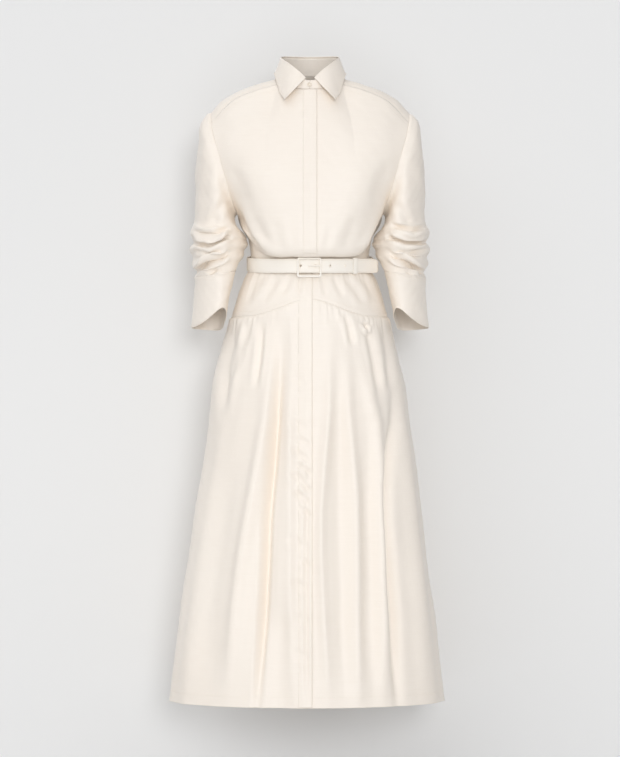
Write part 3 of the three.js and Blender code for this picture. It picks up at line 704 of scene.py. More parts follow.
def new_material(name: str) -> tuple[bpy.types.Material, bpy.types.NodeTree, bpy.types.Node]:
    """A new material, its node tree and its Principled shader."""
    made = bpy.data.materials.new(name)
    made.use_nodes = True
    return made, made.node_tree, made.node_tree.nodes["Principled BSDF"]


@dataclass(frozen=True)
class Silk:
    """Plain-woven silk with slubs, a little crushed, in one shade."""

    name: str
    colour: tuple[float, float, float]
    shade: tuple[float, float, float]
    roughness: float = 0.46
    crinkle: float = 0.5
    thread: float = 2600.0

    def material(self) -> bpy.types.Material:
        """Builds the material.

        Returns:
            A Principled material fed by the weave group.
        """
        made, tree, shader = new_material(self.name)
        weave = tree.nodes.new("ShaderNodeGroup")
        weave.node_tree = weave_group()
        preset(weave, Colour=(*self.colour, 1), Shade=(*self.shade, 1), Roughness=self.roughness)
        preset(weave, Crinkle=self.crinkle, Thread=self.thread)
        wire(
            tree,
            (add(tree, "ShaderNodeTexCoord"), "Object", weave, "Place"),
            (weave, "Colour", shader, "Base Color"),
            (weave, "Roughness", shader, "Roughness"),
            (weave, "Normal", shader, "Normal"),
        )
        preset(shader, Sheen_Weight=0.25, Sheen_Roughness=0.35, Sheen_Tint=(1.0, 0.97, 0.92, 1))
        preset(shader, Specular_IOR_Level=0.4)
        return made


def weave_group() -> bpy.types.NodeTree:
    """The shader group of plain-woven silk, built once.

    Returns:
        The group, with colour, roughness and normal as its outputs.
    """
    found = bpy.data.node_groups.get("silk weave")
    if found:
        return found
    inputs = {"Place": "Vector", "Colour": "Color", "Shade": "Color"}
    inputs |= {"Roughness": "Float", "Crinkle": "Float", "Thread": "Float"}
    outputs = {"Colour": "Color", "Roughness": "Float", "Normal": "Vector"}
    group = new_group("silk weave", "ShaderNodeTree", inputs, outputs)
    start, end = add(group, "NodeGroupInput"), add(group, "NodeGroupOutput")

    def noise(stretch: tuple[float, float, float], scale: float, detail: float) -> Output:
        """A noise, stretched along the threads."""
        mapping = add(group, "ShaderNodeMapping", Scale=stretch)
        made = add(group, "ShaderNodeTexNoise", Scale=scale, Detail=detail)
        wire(group, (start, "Place", mapping, "Vector"), (mapping, "Vector", made, "Vector"))
        return made, "Fac"

    def remap(value: Output, low: float, high: float) -> Output:
        """A noise's middle range, spread to a new one."""
        made = add(group, "ShaderNodeMapRange", From_Min=0.3, From_Max=0.7, To_Min=low, To_Max=high)
        wire(group, (*value, made, "Value"))
        return made, "Result"

    def wave(direction: str) -> Output:
        """Threads that run one way."""
        made = add(group, "ShaderNodeTexWave", Distortion=0.6, Detail=1)
        made.bands_direction = direction
        wire(group, (start, "Place", made, "Vector"), (start, "Thread", made, "Scale"))
        return made, "Fac"

    def joined(operation: str, first: Output, second: Output | float) -> Output:
        """Arithmetic on two values."""
        made = add(group, "ShaderNodeMath")
        made.operation = operation
        wire(group, (*first, made, 0))
        if isinstance(second, float):
            made.inputs[1].default_value = second
        else:
            wire(group, (*second, made, 1))
        return made, 0

    slub = noise((3, 3, 90), 9, 3)
    cloud = noise((1, 1, 0.45), 5, 2)
    small = noise((1.3, 1, 0.8), 38, 4)
    slub_tone = joined("MULTIPLY", remap(slub, 0, 1), 0.35)
    cloud_tone = joined("MULTIPLY", remap(cloud, 0, 1), 0.5)
    blend = add(group, "ShaderNodeMix")
    blend.data_type = "RGBA"
    fine = add(group, "ShaderNodeBump", Strength=0.12, Distance=0.0002)
    crush = add(group, "ShaderNodeBump", Distance=0.0012)
    wire(
        group,
        (*joined("ADD", slub_tone, cloud_tone), blend, "Factor"),
        (start, "Colour", blend, "A"),
        (start, "Shade", blend, "B"),
        (blend, "Result", end, "Colour"),
        (*joined("ADD", (start, "Roughness"), remap(slub, -0.05, 0.06)), end, "Roughness"),
        (*joined("ADD", wave("X"), wave("Z")), fine, "Height"),
        (start, "Crinkle", crush, "Strength"),
        (*joined("ADD", small, joined("MULTIPLY", slub, 0.25)), crush, "Height"),
        (fine, "Normal", crush, "Normal"),
        (crush, "Normal", end, "Normal"),
    )
    return group


class Finishes:
    """The dress's materials, each made once."""

    def __init__(self) -> None:
        """Makes every material."""
        self.silk = Silk("ivory silk", (0.958, 0.878, 0.778), (0.92, 0.828, 0.722)).material()
        self.belt = Silk("belt silk", (0.985, 0.93, 0.84), (0.97, 0.9, 0.8), 0.5, 0.25).material()
        self.thread = Silk("sewing thread", (0.953, 0.87, 0.765), (0.912, 0.83, 0.717), 0.6, 0.1).material()
        self.button = self._button()

    @staticmethod
    def _button() -> bpy.types.Material:
        """Pale shell button with faint clouds.

        Returns:
            The button's material.
        """
        made, tree, shader = new_material("shell button")
        cloud = add(tree, "ShaderNodeTexNoise", Scale=220)
        ramp = tree.nodes.new("ShaderNodeValToRGB")
        ramp.color_ramp.elements[0].color = (0.78, 0.66, 0.5, 1)
        ramp.color_ramp.elements[1].color = (0.93, 0.85, 0.74, 1)
        wire(
            tree,
            (add(tree, "ShaderNodeTexCoord"), "Object", cloud, "Vector"),
            (cloud, "Fac", ramp, "Fac"),
            (ramp, "Color", shader, "Base Color"),
        )
        preset(shader, Roughness=0.25)
        return made


# Creases of the cloth, each set where the camera sees it

BODICE_CREASES = (
    # the pouch that hangs over the belt: its edge on either side, and the hollow outside it
    Crease(((-147, -225), (-116, -302), (-101, -321), (-86, -336), (-64, -344), (-30, -348)), 6, 9),
    Crease(((-160, -240), (-130, -306), (-112, -332), (-96, -349)), -8, 9),
    Crease(((174, -197), (137, -273), (117, -321), (101, -338), (60, -346), (30, -348)), 6, 9),
    Crease(((172, -240), (148, -292), (130, -326), (112, -349)), -8, 9),
    # soft folds that run up from the belt
    Crease(((-62, -344), (-66, -306), (-76, -268)), -1.6, 9, 0.4),
    Crease(((-34, -348), (-36, -316), (-42, -286)), -1, 8, 0.4),
    Crease(((32, -348), (38, -312), (46, -276)), -1.2, 8, 0.4),
    Crease(((70, -344), (82, -304), (98, -258)), -2, 10, 0.4),
    Crease(((-88, -336), (-102, -300), (-122, -256)), -1.8, 9, 0.4),
    # soft drags from the shoulder and armhole
    Crease(((-150, -60), (-122, -120), (-106, -190)), -1.2, 30, 0.3),
    Crease(((-172, -150), (-146, -200), (-126, -250)), -2.6, 12, 0.3),
    Crease(((150, -56), (124, -118), (112, -186)), -1.2, 30, 0.3),
    Crease(((172, -142), (148, -196), (130, -244)), -2.6, 12, 0.3),
    Crease(((56, -70), (50, -140), (54, -230)), -0.9, 26, 0.3),
    Crease(((-60, -70), (-50, -130), (-56, -220)), -0.9, 26, 0.3),
    Crease(((-8, -30), (-22, -46), (-34, -58)), -1.2, 7, 0.3),
)
BACK_BODICE_CREASES = (
    Crease(((-150, -230), (-112, -290), (-84, -318), (-30, -326)), 4, 12),
    Crease(((150, -226), (114, -288), (80, -318), (30, -326)), 4, 12),
    Crease(((-70, -322), (-78, -280), (-92, -236)), -3, 9, 0.4),
    Crease(((-30, -326), (-30, -290), (-26, -250)), -2.4, 8, 0.4),
    Crease(((28, -326), (34, -288), (30, -246)), -2.8, 8, 0.4),
    Crease(((76, -322), (88, -276), (98, -232)), -3, 9, 0.4),
    Crease(((-120, -110), (-98, -180), (-92, -240)), -2.6, 18, 0.3),
    Crease(((122, -106), (104, -176), (96, -236)), -2.6, 18, 0.3),
    Crease(((0, -110), (4, -180), (0, -240)), -1.6, 22, 0.3),
)
SLEEVE_FRONT = (
    # wearer's right, the photograph's left
    Crease(((-252, -292), (-228, -302), (-205, -303), (-166, -290)), -8, 4.4, 0.7),
    Crease(((-252, -322), (-215, -326), (-183, -314), (-156, -300)), -10, 4.8, 0.8),
    Crease(((-246, -338), (-226, -335), (-206, -340)), -5, 4, 0.6),
    Crease(((-247, -388), (-232, -376), (-217, -366), (-194, -356), (-166, -340)), -13, 5, 0.7),
    Crease(((-252, -354), (-222, -349), (-190, -338), (-160, -322)), 8, 8),
    Crease(((-250, -309), (-222, -313), (-190, -306)), 4, 7),
    Crease(((-212, -398), (-206, -384), (-196, -372)), -5, 5, 0.5),
    Crease(((-205, -150), (-222, -200), (-226, -258)), -2.6, 14, 0.3),
    Crease(((-176, -228), (-196, -258), (-208, -288)), -4, 8, 0.4),
    # wearer's left, the photograph's right
    Crease(((156, -300), (172, -312), (199, -320), (230, -322), (252, -318)), -9.5, 4.8, 0.8),
    Crease(((200, -338), (221, -337), (244, -334), (254, -330)), -5, 4, 0.6),
    Crease(((162, -340), (188, -356), (210, -368), (225, -376), (240, -390)), -13, 5, 0.7),
    Crease(((158, -322), (190, -338), (224, -350), (250, -354)), 8, 8),
    Crease(((250, -286), (216, -295), (184, -288), (164, -280)), -8, 4.4, 0.7),
    Crease(((250, -304), (220, -309), (188, -303)), 4, 7),
    Crease(((218, -400), (212, -388), (200, -374)), -5, 5, 0.5),
    Crease(((203, -150), (222, -204), (228, -260)), -2.6, 14, 0.3),
    Crease(((178, -232), (198, -262), (212, -290)), -4, 8, 0.4),
)
SLEEVE_BACK = (
    Crease(((-250, -298), (-208, -306), (-164, -296)), -8, 6, 0.6),
    Crease(((-250, -330), (-206, -328), (-158, -314)), -11, 6, 0.6),
    Crease(((-248, -362), (-212, -352), (-166, -338)), -9, 6, 0.6),
    Crease(((-244, -386), (-214, -382), (-178, -366)), -7, 5, 0.6),
    Crease(((-200, -150), (-224, -206), (-230, -264)), -2.8, 14, 0.3),
    Crease(((250, -294), (214, -304), (166, -296)), -8, 6, 0.6),
    Crease(((250, -324), (210, -331), (160, -316)), -10, 6, 0.6),
    Crease(((248, -354), (206, -357), (168, -338)), -11, 6, 0.6),
    Crease(((244, -388), (212, -380), (176, -368)), -7, 5, 0.6),
    Crease(((202, -146), (222, -202), (228, -262)), -2.8, 14, 0.3),
)
SKIRT_CREASES = (
    # the photograph's left of the opening
    Crease(((-150, -470), (-176, -590), (-186, -700)), -7, 9, 0.4),
    Crease(((-120, -470), (-146, -542), (-166, -620)), -5, 7, 0.4),
    Crease(
        ((-80, -480), (-82, -596), (-92, -697), (-111, -804), (-128, -901), (-145, -1004), (-180, -1330)),
        13,
        15,
    ),
    Crease(
        ((-61, -430), (-61, -563), (-69, -643), (-77, -750), (-90, -901), (-94, -1004), (-116, -1360)),
        -19,
        17,
    ),
    Crease(((-63, -520), (-70, -643), (-79, -750), (-92, -901), (-96, -1004), (-118, -1400)), -8, 7, 0.4),
    Crease(((-62, -1040), (-64, -1180), (-66, -1380)), -9, 26),
    Crease(((-46, -500), (-42, -777), (-42, -1060), (-36, -1360)), 7, 13),
    Crease(((-216, -760), (-241, -1004), (-264, -1360)), 6, 22),
    Crease(((-140, -700), (-178, -860), (-204, -1040), (-222, -1360)), -7, 26),
    # the photograph's right of the opening
    Crease(((43, -470), (40, -670), (33, -750), (22, -884), (22, -974), (29, -1117), (44, -1360)), 9, 11),
    Crease(((62, -600), (60, -764), (62, -900), (68, -1117), (74, -1360)), -8, 17),
    Crease(((76, -480), (80, -670), (88, -764), (97, -861), (99, -1117), (106, -1360)), 8, 12),
    Crease(((92, -480), (118, -611), (137, -697), (145, -804), (150, -974), (158, -1360)), 11, 13),
    Crease(((120, -700), (122, -860), (126, -1040), (132, -1360)), -8, 18),
    Crease(
        (
            (172, -560),
            (178, -700),
            (168, -764),
            (162, -832),
            (162, -901),
            (168, -974),
            (178, -1117),
            (190, -1380),
        ),
        -17,
        10,
    ),
    Crease(((196, -620), (206, -804), (224, -1000), (250, -1360)), 8, 18),
    # short folds under the hip yoke
    Crease(((69, -452), (82, -500), (92, -545)), -5, 6, 0.4),
    Crease(((115, -480), (134, -566), (146, -650)), -5, 7, 0.4),
    Crease(((150, -480), (164, -560), (170, -640)), -4, 7, 0.4),
    Crease(((-100, -470), (-106, -560), (-116, -640)), -5, 6, 0.4),
    Crease(((-134, -470), (-150, -560), (-160, -650)), 4, 7),
    Crease(((-30, -442), (-28, -520), (-26, -600)), -3, 6, 0.4),
    Crease(((106, -484), (118, -496), (128, -486)), -4, 4, 0.5),
    Crease(((108, -500), (120, -510), (130, -504)), 3, 4, 0.5),
)
OPENING_PUCKERS = (
    # the crumpled stretch in the middle
    Crease(((-44, -748), (-24, -766), (-2, -778)), -3, 6, 0.4),
    Crease(((-30, -784), (-16, -792), (4, -808)), -3.8, 4.5, 0.5),
    Crease(((-48, -800), (-28, -812), (-8, -830)), -3, 6, 0.4),
    Crease(((-20, -822), (-8, -836), (4, -842)), -3.8, 4.5, 0.5),
    Crease(((-38, -842), (-20, -852), (-2, -872)), -3.6, 5.5, 0.5),
    Crease(((-24, -876), (-12, -884), (4, -898)), -3.2, 4.5, 0.5),
    Crease(((-24, -770), (-14, -786), (-8, -812), (-2, -826)), 2.2, 5),
    Crease(((-22, -760), (-19, -800), (-23, -850)), 1.8, 8),
    # looser ones above and below it
    Crease(((-40, -596), (-22, -610), (-6, -618)), -1.6, 7, 0.4),
    Crease(((-48, -690), (-26, -704), (-4, -712)), -2.2, 8, 0.4),
    Crease(((-30, -730), (-14, -738), (2, -746)), -2.2, 5, 0.4),
    Crease(((-50, -934), (-28, -950), (-6, -968)), -2.4, 8, 0.4),
    Crease(((-26, -982), (-12, -992), (2, -1006)), -2.4, 5, 0.4),
    Crease(((-44, -1026), (-22, -1042), (0, -1050)), -2.4, 7, 0.4),
    Crease(((-38, -1102), (-16, -1112), (2, -1126)), -2, 7, 0.4),
    Crease(((-42, -1178), (-20, -1186), (-2, -1200)), -1.7, 8, 0.4),
    Crease(((-5, -760), (-8, -1020), (-7, -1200), (-6, -1330)), -3.2, 5, 0.5),
)
HIP_CREASES = (
    Crease(((-62, -384), (-84, -420), (-104, -452)), -2.6, 7, 0.4),
    Crease(((-40, -386), (-50, -412), (-62, -434)), -2.4, 6, 0.4),
    Crease(((-18, -388), (-22, -412), (-26, -432)), -2, 5, 0.4),
    Crease(((24, -388), (28, -412), (34, -434)), -2, 5, 0.4),
    Crease(((46, -386), (58, -412), (72, -440)), -2.4, 6, 0.4),
    Crease(((72, -384), (94, -418), (116, -456)), -2.6, 7, 0.4),
    Crease(((100, -384), (122, -410), (140, -450)), -2.2, 7, 0.4),
    Crease(((-96, -384), (-118, -414), (-136, -454)), -2.2, 7, 0.4),
)


@dataclass(frozen=True)
class Gathers:
    """Many small uneven folds that run down from a seam, in millimetres."""

    pitch: float
    depth: float
    length: float
    seed: int

    def lift(self, around: Array, down: Array) -> Array:
        """How far the gathers move the cloth out.

        Args:
            around: places along the seam.
            down: distance from the seam.

        Returns:
            Millimetres outwards for each place.
        """
        random = np.random.default_rng(self.seed)
        low, high = float(around.min()), float(around.max())
        out = np.zeros(np.broadcast(around, down).shape)
        place = low
        while place < high:
            width = self.pitch * random.uniform(0.3, 0.55)
            length = self.length * random.uniform(0.35, 1.3)
            depth = self.depth * random.uniform(0.4, 1.25)
            drift = random.normal() * 0.03
            shift = (around - place - drift * down) / (width * (1 + down / 260))
            out += depth * bell(shift) * ease(down / 7) * (1 - ease(down / length))
            place += self.pitch * random.uniform(0.65, 1.4)
        return out


# Sewing


@dataclass
class Stitching:
    """Rows of small stitches, laid along lines on the cloth by Geometry Nodes."""

    finishes: Finishes
    rows: dict[str, list[Array]] = field(default_factory=dict)
    pitch: float = 3.1
    length: float = 2.3
    radius: float = 0.28
    above: float = 0.15
    sides: int = 5

    def along(self, group: str, grid: Array, inside: Vector, pick: object, closed: bool = False) -> None:
        """Notes a row of stitches on the outside of a piece of cloth.

        Args:
            group: the piece of stitching that it belongs to.
            grid: the cloth's outside.
            inside: a point that the cloth faces away from, as for its sheet.
            pick: which row or column of the grid.
            closed: whether the grid closes on itself.
        """
        lift = facing(grid, closed, inside) * self.above
        line = (grid + lift * grid_normals(grid, closed))[pick]
        self.rows.setdefault(group, []).append(np.concatenate([line, line[:1]]) if closed else line)

    def make(self) -> None:
        """Makes a piece of each group of rows."""
        for group, lines in self.rows.items():
            self.sew(f"{group}_stitches", lines, Slot.BELT if group == "belt" else Slot.SILK)

    def _tree(self) -> bpy.types.NodeTree:
        """The node tree, built once.

        Returns:
            The tree, with its sizes and material as inputs.
        """
        found = bpy.data.node_groups.get("stitch rows")
        if found:
            return found
        sizes = {"Pitch": "Float", "Length": "Float", "Radius": "Float"}
        inputs = {"Geometry": "Geometry", **sizes, "Material": "Material"}
        tree = new_group("stitch rows", "GeometryNodeTree", inputs, {"Geometry": "Geometry"})
        start, end = add(tree, "NodeGroupInput"), add(tree, "NodeGroupOutput")
        curve = add(tree, "GeometryNodeMeshToCurve")
        even = add(tree, "GeometryNodeResampleCurve")
        even.mode = "LENGTH"
        turn = add(tree, "FunctionNodeAlignRotationToVector")
        turn.axis = "Z"
        stitch = add(tree, "GeometryNodeMeshCylinder", Vertices=self.sides)
        place = add(tree, "GeometryNodeInstanceOnPoints")
        real = add(tree, "GeometryNodeRealizeInstances")
        smooth = add(tree, "GeometryNodeSetShadeSmooth")
        finish = add(tree, "GeometryNodeSetMaterial")
        wire(
            tree,
            (start, "Geometry", curve, "Mesh"),
            (curve, "Curve", even, "Curve"),
            (start, "Pitch", even, "Length"),
            (even, "Curve", place, "Points"),
            (add(tree, "GeometryNodeInputTangent"), "Tangent", turn, "Vector"),
            (turn, "Rotation", place, "Rotation"),
            (start, "Length", stitch, "Depth"),
            (start, "Radius", stitch, "Radius"),
            (stitch, "Mesh", place, "Instance"),
            (place, "Instances", real, "Geometry"),
            (real, "Geometry", smooth, "Geometry"),
            (smooth, "Geometry", finish, "Geometry"),
            (start, "Material", finish, "Material"),
            (finish, "Geometry", end, "Geometry"),
        )
        return tree

    def sew(self, name: str, lines: list[Array], slot: Slot) -> None:
        """Sews along lines, as one plain mesh.

        Args:
            name: the piece's name.
            lines: points of each line, in millimetres.
            slot: a material slot name, passed on to dress_piece.
        """
        mesh = bpy.data.meshes.new(name)
        points = np.concatenate(lines) * MM
        edges = []
        base = 0
        for line in lines:
            edges += [(base + step, base + step + 1) for step in range(len(line) - 1)]
            base += len(line)
        mesh.from_pydata(points.tolist(), edges, [])
        source = placed(name, mesh)
        modifier = source.modifiers.new("stitches", "NODES")
        tree = self._tree()
        modifier.node_group = tree
        values = {
            "Pitch": self.pitch * MM,
            "Length": self.length * MM,
            "Radius": self.radius * MM,
            "Material": self.finishes.thread,
        }
        for item in tree.interface.items_tree:
            if item.in_out == "INPUT" and item.name in values:
                modifier[item.identifier] = values[item.name]
        dress_piece(applied(source), self.finishes.thread, slot)


# The pieces of cloth

# the covered front band: half its width, how far it stands out, and its columns with stitches
BAND_HALF = 14.7
BAND_OUT = 1.7
BAND_STITCHED = (1, -3)


def dress_piece(piece: bpy.types.Object, material: bpy.types.Material, slot: Slot, *nodes: str) -> None:
    """Gives a piece its finish, hangs it on the body and hides the construction's nodes that it replaces.

    Args:
        piece: the piece.
        material: its finish.
        slot: not used.
        nodes: the construction's nodes that it replaces.
    """
    piece.data.materials.clear()
    piece.data.materials.append(material)
    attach(piece, BODY)
    if nodes:
        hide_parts(*nodes)
    log.info("%s: %d faces", piece.name, len(piece.data.polygons))


@dataclass
class Garment:
    """Cloth pieces that share the cut, the finishes and the stitches."""

    cut: Cut
    finishes: Finishes
    sewing: Stitching

    def cloth(self, node: str, grid: Array, closed: bool, inside: Vector, wall: float = 1.1) -> None:
        """Makes a piece of silk in the place of one of the construction's nodes.

        Args:
            node: the node's name.
            grid: the cloth's outside.
            closed: whether the grid closes on itself.
            inside: a point that the cloth faces away from.
            wall: thickness of the cloth.
        """
        piece = sheet_object(f"{node}_cloth", grid, closed, inside, wall)
        dress_piece(piece, self.finishes.silk, Slot.SILK, node)

    def front_band(self, node: str, rows: list[Array], centre: float, points: int, swell: float) -> None:
        """Makes a stretch of the covered button band, over both fronts.

        Args:
            node: the construction's node.
            rows: rows of both fronts, from the wearer's right to the left.
            centre: x of the band's middle.
            points: how many points lie across it.
            swell: how uneven it is.
        """
        places = np.linspace(centre - BAND_HALF, centre + BAND_HALF, points)
        lines = [[np.interp(places, row[:, 0], row[:, axis]) for axis in range(3)] for row in rows]
        grid = np.moveaxis(np.array(lines), 1, -1)
        sewn = 0.08 + 0.92 * ease((places - centre + BAND_HALF) / (1.2 * BAND_HALF))
        edge = 0.6 + 0.4 * ease((centre + BAND_HALF - places) / 2)
        grid[..., 1] -= BAND_OUT * sewn * edge
        grid[..., 1] -= swell * wander(grid, 91, 26)
        self.cloth(node, grid, False, AXIS, 1.0)
        for column in BAND_STITCHED:
            self.sewing.along("placket", grid, AXIS, (slice(1, -1), column))


@dataclass
class Bodice(Garment):
    """Two fronts and a back that pouch over the belt, and the covered front band."""

    rows: int = 116
    columns: int = 66
    swell: float = 0.7
    lip_rows: int = 40
    seam_length: float = 330
    seam_depth: float = 0.4
    stitched_row: int = -4
    band_foot: float = 2.6

    def _rows(self) -> Array:
        """Row numbers from the waist to the yoke, closer together at the lip."""
        return stations(0, 4, self.lip_rows, *np.linspace(4, 13, self.rows - self.lip_rows))

    def _calm_edges(self, grid: Array, shares: Array) -> Array:
        """1 inside a panel and 0 at its armhole, neck and waist edges."""
        rows = np.linspace(0, 1, grid.shape[0])[:, None]
        return ease(rows / 0.12) * ease((1 - rows) / 0.07) * ease((1 - shares[None, :]) / 0.12)

    def _creased(self, grid: Array, shares: Array, creases: tuple[Crease, ...], seed: int) -> Array:
        """A half panel with its creases, swell and seam dips.

        Args:
            grid: the plain half panel.
            shares: its places across.
            creases: the creases to lay in.
            seed: which swell.

        Returns:
            The creased grid.
        """
        out = lift_all(creases, grid)
        out += self.swell * wander(grid, seed, 70) + 0.35 * self.swell * wander(grid, seed + 9, 26)
        out *= self._calm_edges(grid, shares)
        up = np.linspace(0, 1, grid.shape[0])
        out += (seam_dip(up, self.seam_length, self.seam_depth) * ease(4 * up))[:, None]
        return push_out(grid, out, False, AXIS)

    def make(self) -> None:
        """Makes the three panels and the band."""
        shares, numbers = spaced(self.columns), self._rows()
        plain = self.cut.bodice(Facing.FRONT, numbers, shares)
        fronts = []
        for name, side in (("left", 1), ("right", -1)):
            creased = self._creased(sided(plain, side), shares, BODICE_CREASES, 3)
            creased[:, 0, 0] = 0
            fronts.append(creased)
            self._panel(f"bodice_front_{name}", creased)
        back = across(self.cut.bodice(Facing.BACK, numbers, shares))
        wide = np.concatenate([shares[:0:-1], shares])
        self._panel("bodice_back", self._creased(back, wide, BACK_BODICE_CREASES, 5))
        left, right = fronts
        whole = np.concatenate([right[:, :0:-1], left], axis=1)
        self.front_band("placket_bodice", list(whole[numbers >= self.band_foot]), 0, 25, 0)

    def _panel(self, node: str, grid: Array) -> None:
        """Makes a panel, stitched along the yoke's seam."""
        self.cloth(node, grid, False, AXIS)
        self.sewing.along("bodice", grid, AXIS, (self.stitched_row, slice(2, -2)))


@dataclass
class ShoulderYoke(Garment):
    """The piece over both shoulders and the nape."""

    rows: int = 46
    columns: int = 90
    seam_length: float = 100
    seam_depth: float = 0.4
    stitched_rows: tuple[int, int] = (4, -5)

    def make(self) -> None:
        """Makes the yoke."""
        columns = stations(0, 12, self.columns, 11.9, 11.96)
        rows = stations(0, 4, self.rows, 0.04, 0.1, 3.9, 3.96)
        grid = across(self.cut.yoke(rows, columns))
        calm = ease(rows / 0.5) * ease((4 - rows) / 0.5)
        wide = np.concatenate([columns[:0:-1], columns])
        out = 0.8 * wander(grid, 21, 60) * calm[:, None] * ease(12 - wide)[None, :]
        out = out + seam_dip(rows / 4, self.seam_length, self.seam_depth)[:, None]
        below = Vector((0, 10, -250))
        grid = push_out(grid, out, False, below)
        self.cloth("shoulder_yoke", grid, False, below)
        for row in self.stitched_rows:
            self.sewing.along("yoke", grid, below, (row, slice(1, -1)))


@dataclass
class Sleeves(Garment):
    """Two full sleeves pushed up at the elbow, with wide open cuffs."""

    axis_x: float = 196
    around: int = 150
    rows: int = 132
    cuff_rows: int = 56
    cuff_peak: float = 46
    cuff_peak_at: float = 115
    cuff_peak_spread: float = 62
    seam_length: float = 300
    seam_depth: float = 0.3
    stitched_rows: tuple[int, int] = (4, -5)
    # outer x and z, inner x and z, half depth, middle, draw, blend with the straight sleeve
    rings: Array = table(
        (244, -64, 166, -268, 80, 5, 0, 0.25),
        (248, -94, 162, -276, 82, 5, 0, 0.55),
        (241, -140, 156, -285, 82, 4, 0, 0.85),
        (241, -188, 150, -292, 80, 3, 2, 1),
        (241, -234, 144, -298, 78, 2, 4, 1),
        (242, -276, 138, -304, 74, 1, 4, 1),
        (251, -300, 134, -311, 80, 0, 4, 1),
        (244, -319, 134, -316, 72, 0, 5, 1),
        (253, -335, 131, -326, 78, 0, 6, 1),
        (245, -352, 138, -336, 70, -1, 8, 1),
        (248, -366, 139, -349, 74, -2, 9, 1),
        (239, -381, 149, -363, 65, -3, 11, 1),
        (243, -394, 158, -382, 67, -4, 14, 1),
    )
    cuff_rings: Array = table(
        (243, -394, 158, -382, 67, -4, 14, 1),
        (243, -430, 169, -422, 65, -5, 18, 1),
        (246, -466, 176, -462, 64, -6, 21, 1),
        (249, -501, 181, -507, 63, -6, 22, 1),
    )

    def _ring(self, ring: Array, angles: Array, peak: float) -> Array:
        """Points of one ring of the wearer's left sleeve.

        Args:
            ring: a row of the table.
            angles: radians from the outer side towards the front.
            peak: how much higher the front is.

        Returns:
            One point for each angle.
        """
        side = (1 + np.cos(angles)) / 2
        front = np.maximum(0, np.sin(angles))
        x = mix(ring[2], ring[0], side) - ring[6] * front
        y = ring[5] - ring[4] * np.sin(angles)
        z = mix(ring[3], ring[1], side)
        z = z + peak * bell((np.degrees(angles) - self.cuff_peak_at) / self.cuff_peak_spread)
        ring_points = np.stack([x, y, z], axis=-1)
        return mix(self._hole(angles), ring_points, ring[7])

    def _hole(self, angles: Array) -> Array:
        """Points of the armhole."""
        return self.cut.arm(angles / (2 * math.pi) * self.cut.sleeve_columns)

    def _angles(self) -> Array:
        """Angles of the columns."""
        return np.linspace(0, 2 * math.pi, self.around, endpoint=False)

    def sleeve(self) -> Array:
        """Plain grid of the wearer's left sleeve."""
        angles = self._angles()
        rings = [self._hole(angles)]
        rings += [self._ring(ring, angles, 0) for ring in self.rings]
        return refine(np.array(rings), stations(0, 13, self.rows, 0.03, 0.08, 12.9, 12.96))

    def cuff(self) -> Array:
        """Plain grid of the wearer's left cuff."""
        angles = self._angles()
        last = len(self.cuff_rings) - 1
        rings = [
            self._ring(ring, angles, self.cuff_peak * (row / last) ** 2)
            for row, ring in enumerate(self.cuff_rings)
        ]
        return refine(np.array(rings), stations(0, last, self.cuff_rows, 0.02, 0.06, 2.95, 2.99))

    def _creased(self, grid: Array, side: float, depth: float, seed: int) -> Array:
        """A sleeve or cuff with its creases and swell.

        Args:
            grid: the plain tube.
            side: 1 for the wearer's left, -1 for the right.
            depth: how strong the creases are.
            seed: which swell.

        Returns:
            The creased grid.
        """
        front = ease((20 - grid[..., 1]) / 40)
        out = depth * (lift_all(SLEEVE_FRONT, grid) * front + lift_all(SLEEVE_BACK, grid) * (1 - front))
        out += 0.9 * wander(grid, seed, 60) + 0.4 * wander(grid, seed + 4, 24)
        rows = np.linspace(0, 1, grid.shape[0])
        out *= (ease(rows / 0.08) * ease((1 - rows) / 0.06))[:, None]
        out += seam_dip(rows, self.seam_length, self.seam_depth)[:, None]
        return push_out(grid, out, True, self._inside(side))

    def _inside(self, side: float) -> Vector:
        """The middle line of a sleeve."""
        return Vector((side * self.axis_x, 0, math.nan))

    def make(self) -> None:
        """Makes both sleeves and cuffs."""
        kinds = (("sleeve", self.sleeve(), 1.0), ("cuff", self.cuff(), 0.25))
        for name, side, seed in (("left", 1, 31), ("right", -1, 47)):
            inside = self._inside(side)
            for kind, grid, depth in kinds:
                creased = self._creased(sided(grid, side), side, depth, seed)
                self.cloth(f"{kind}_{name}", creased, True, inside)
                if kind == "cuff":
                    for row in self.stitched_rows:
                        self.sewing.along("cuff", creased, inside, row, True)


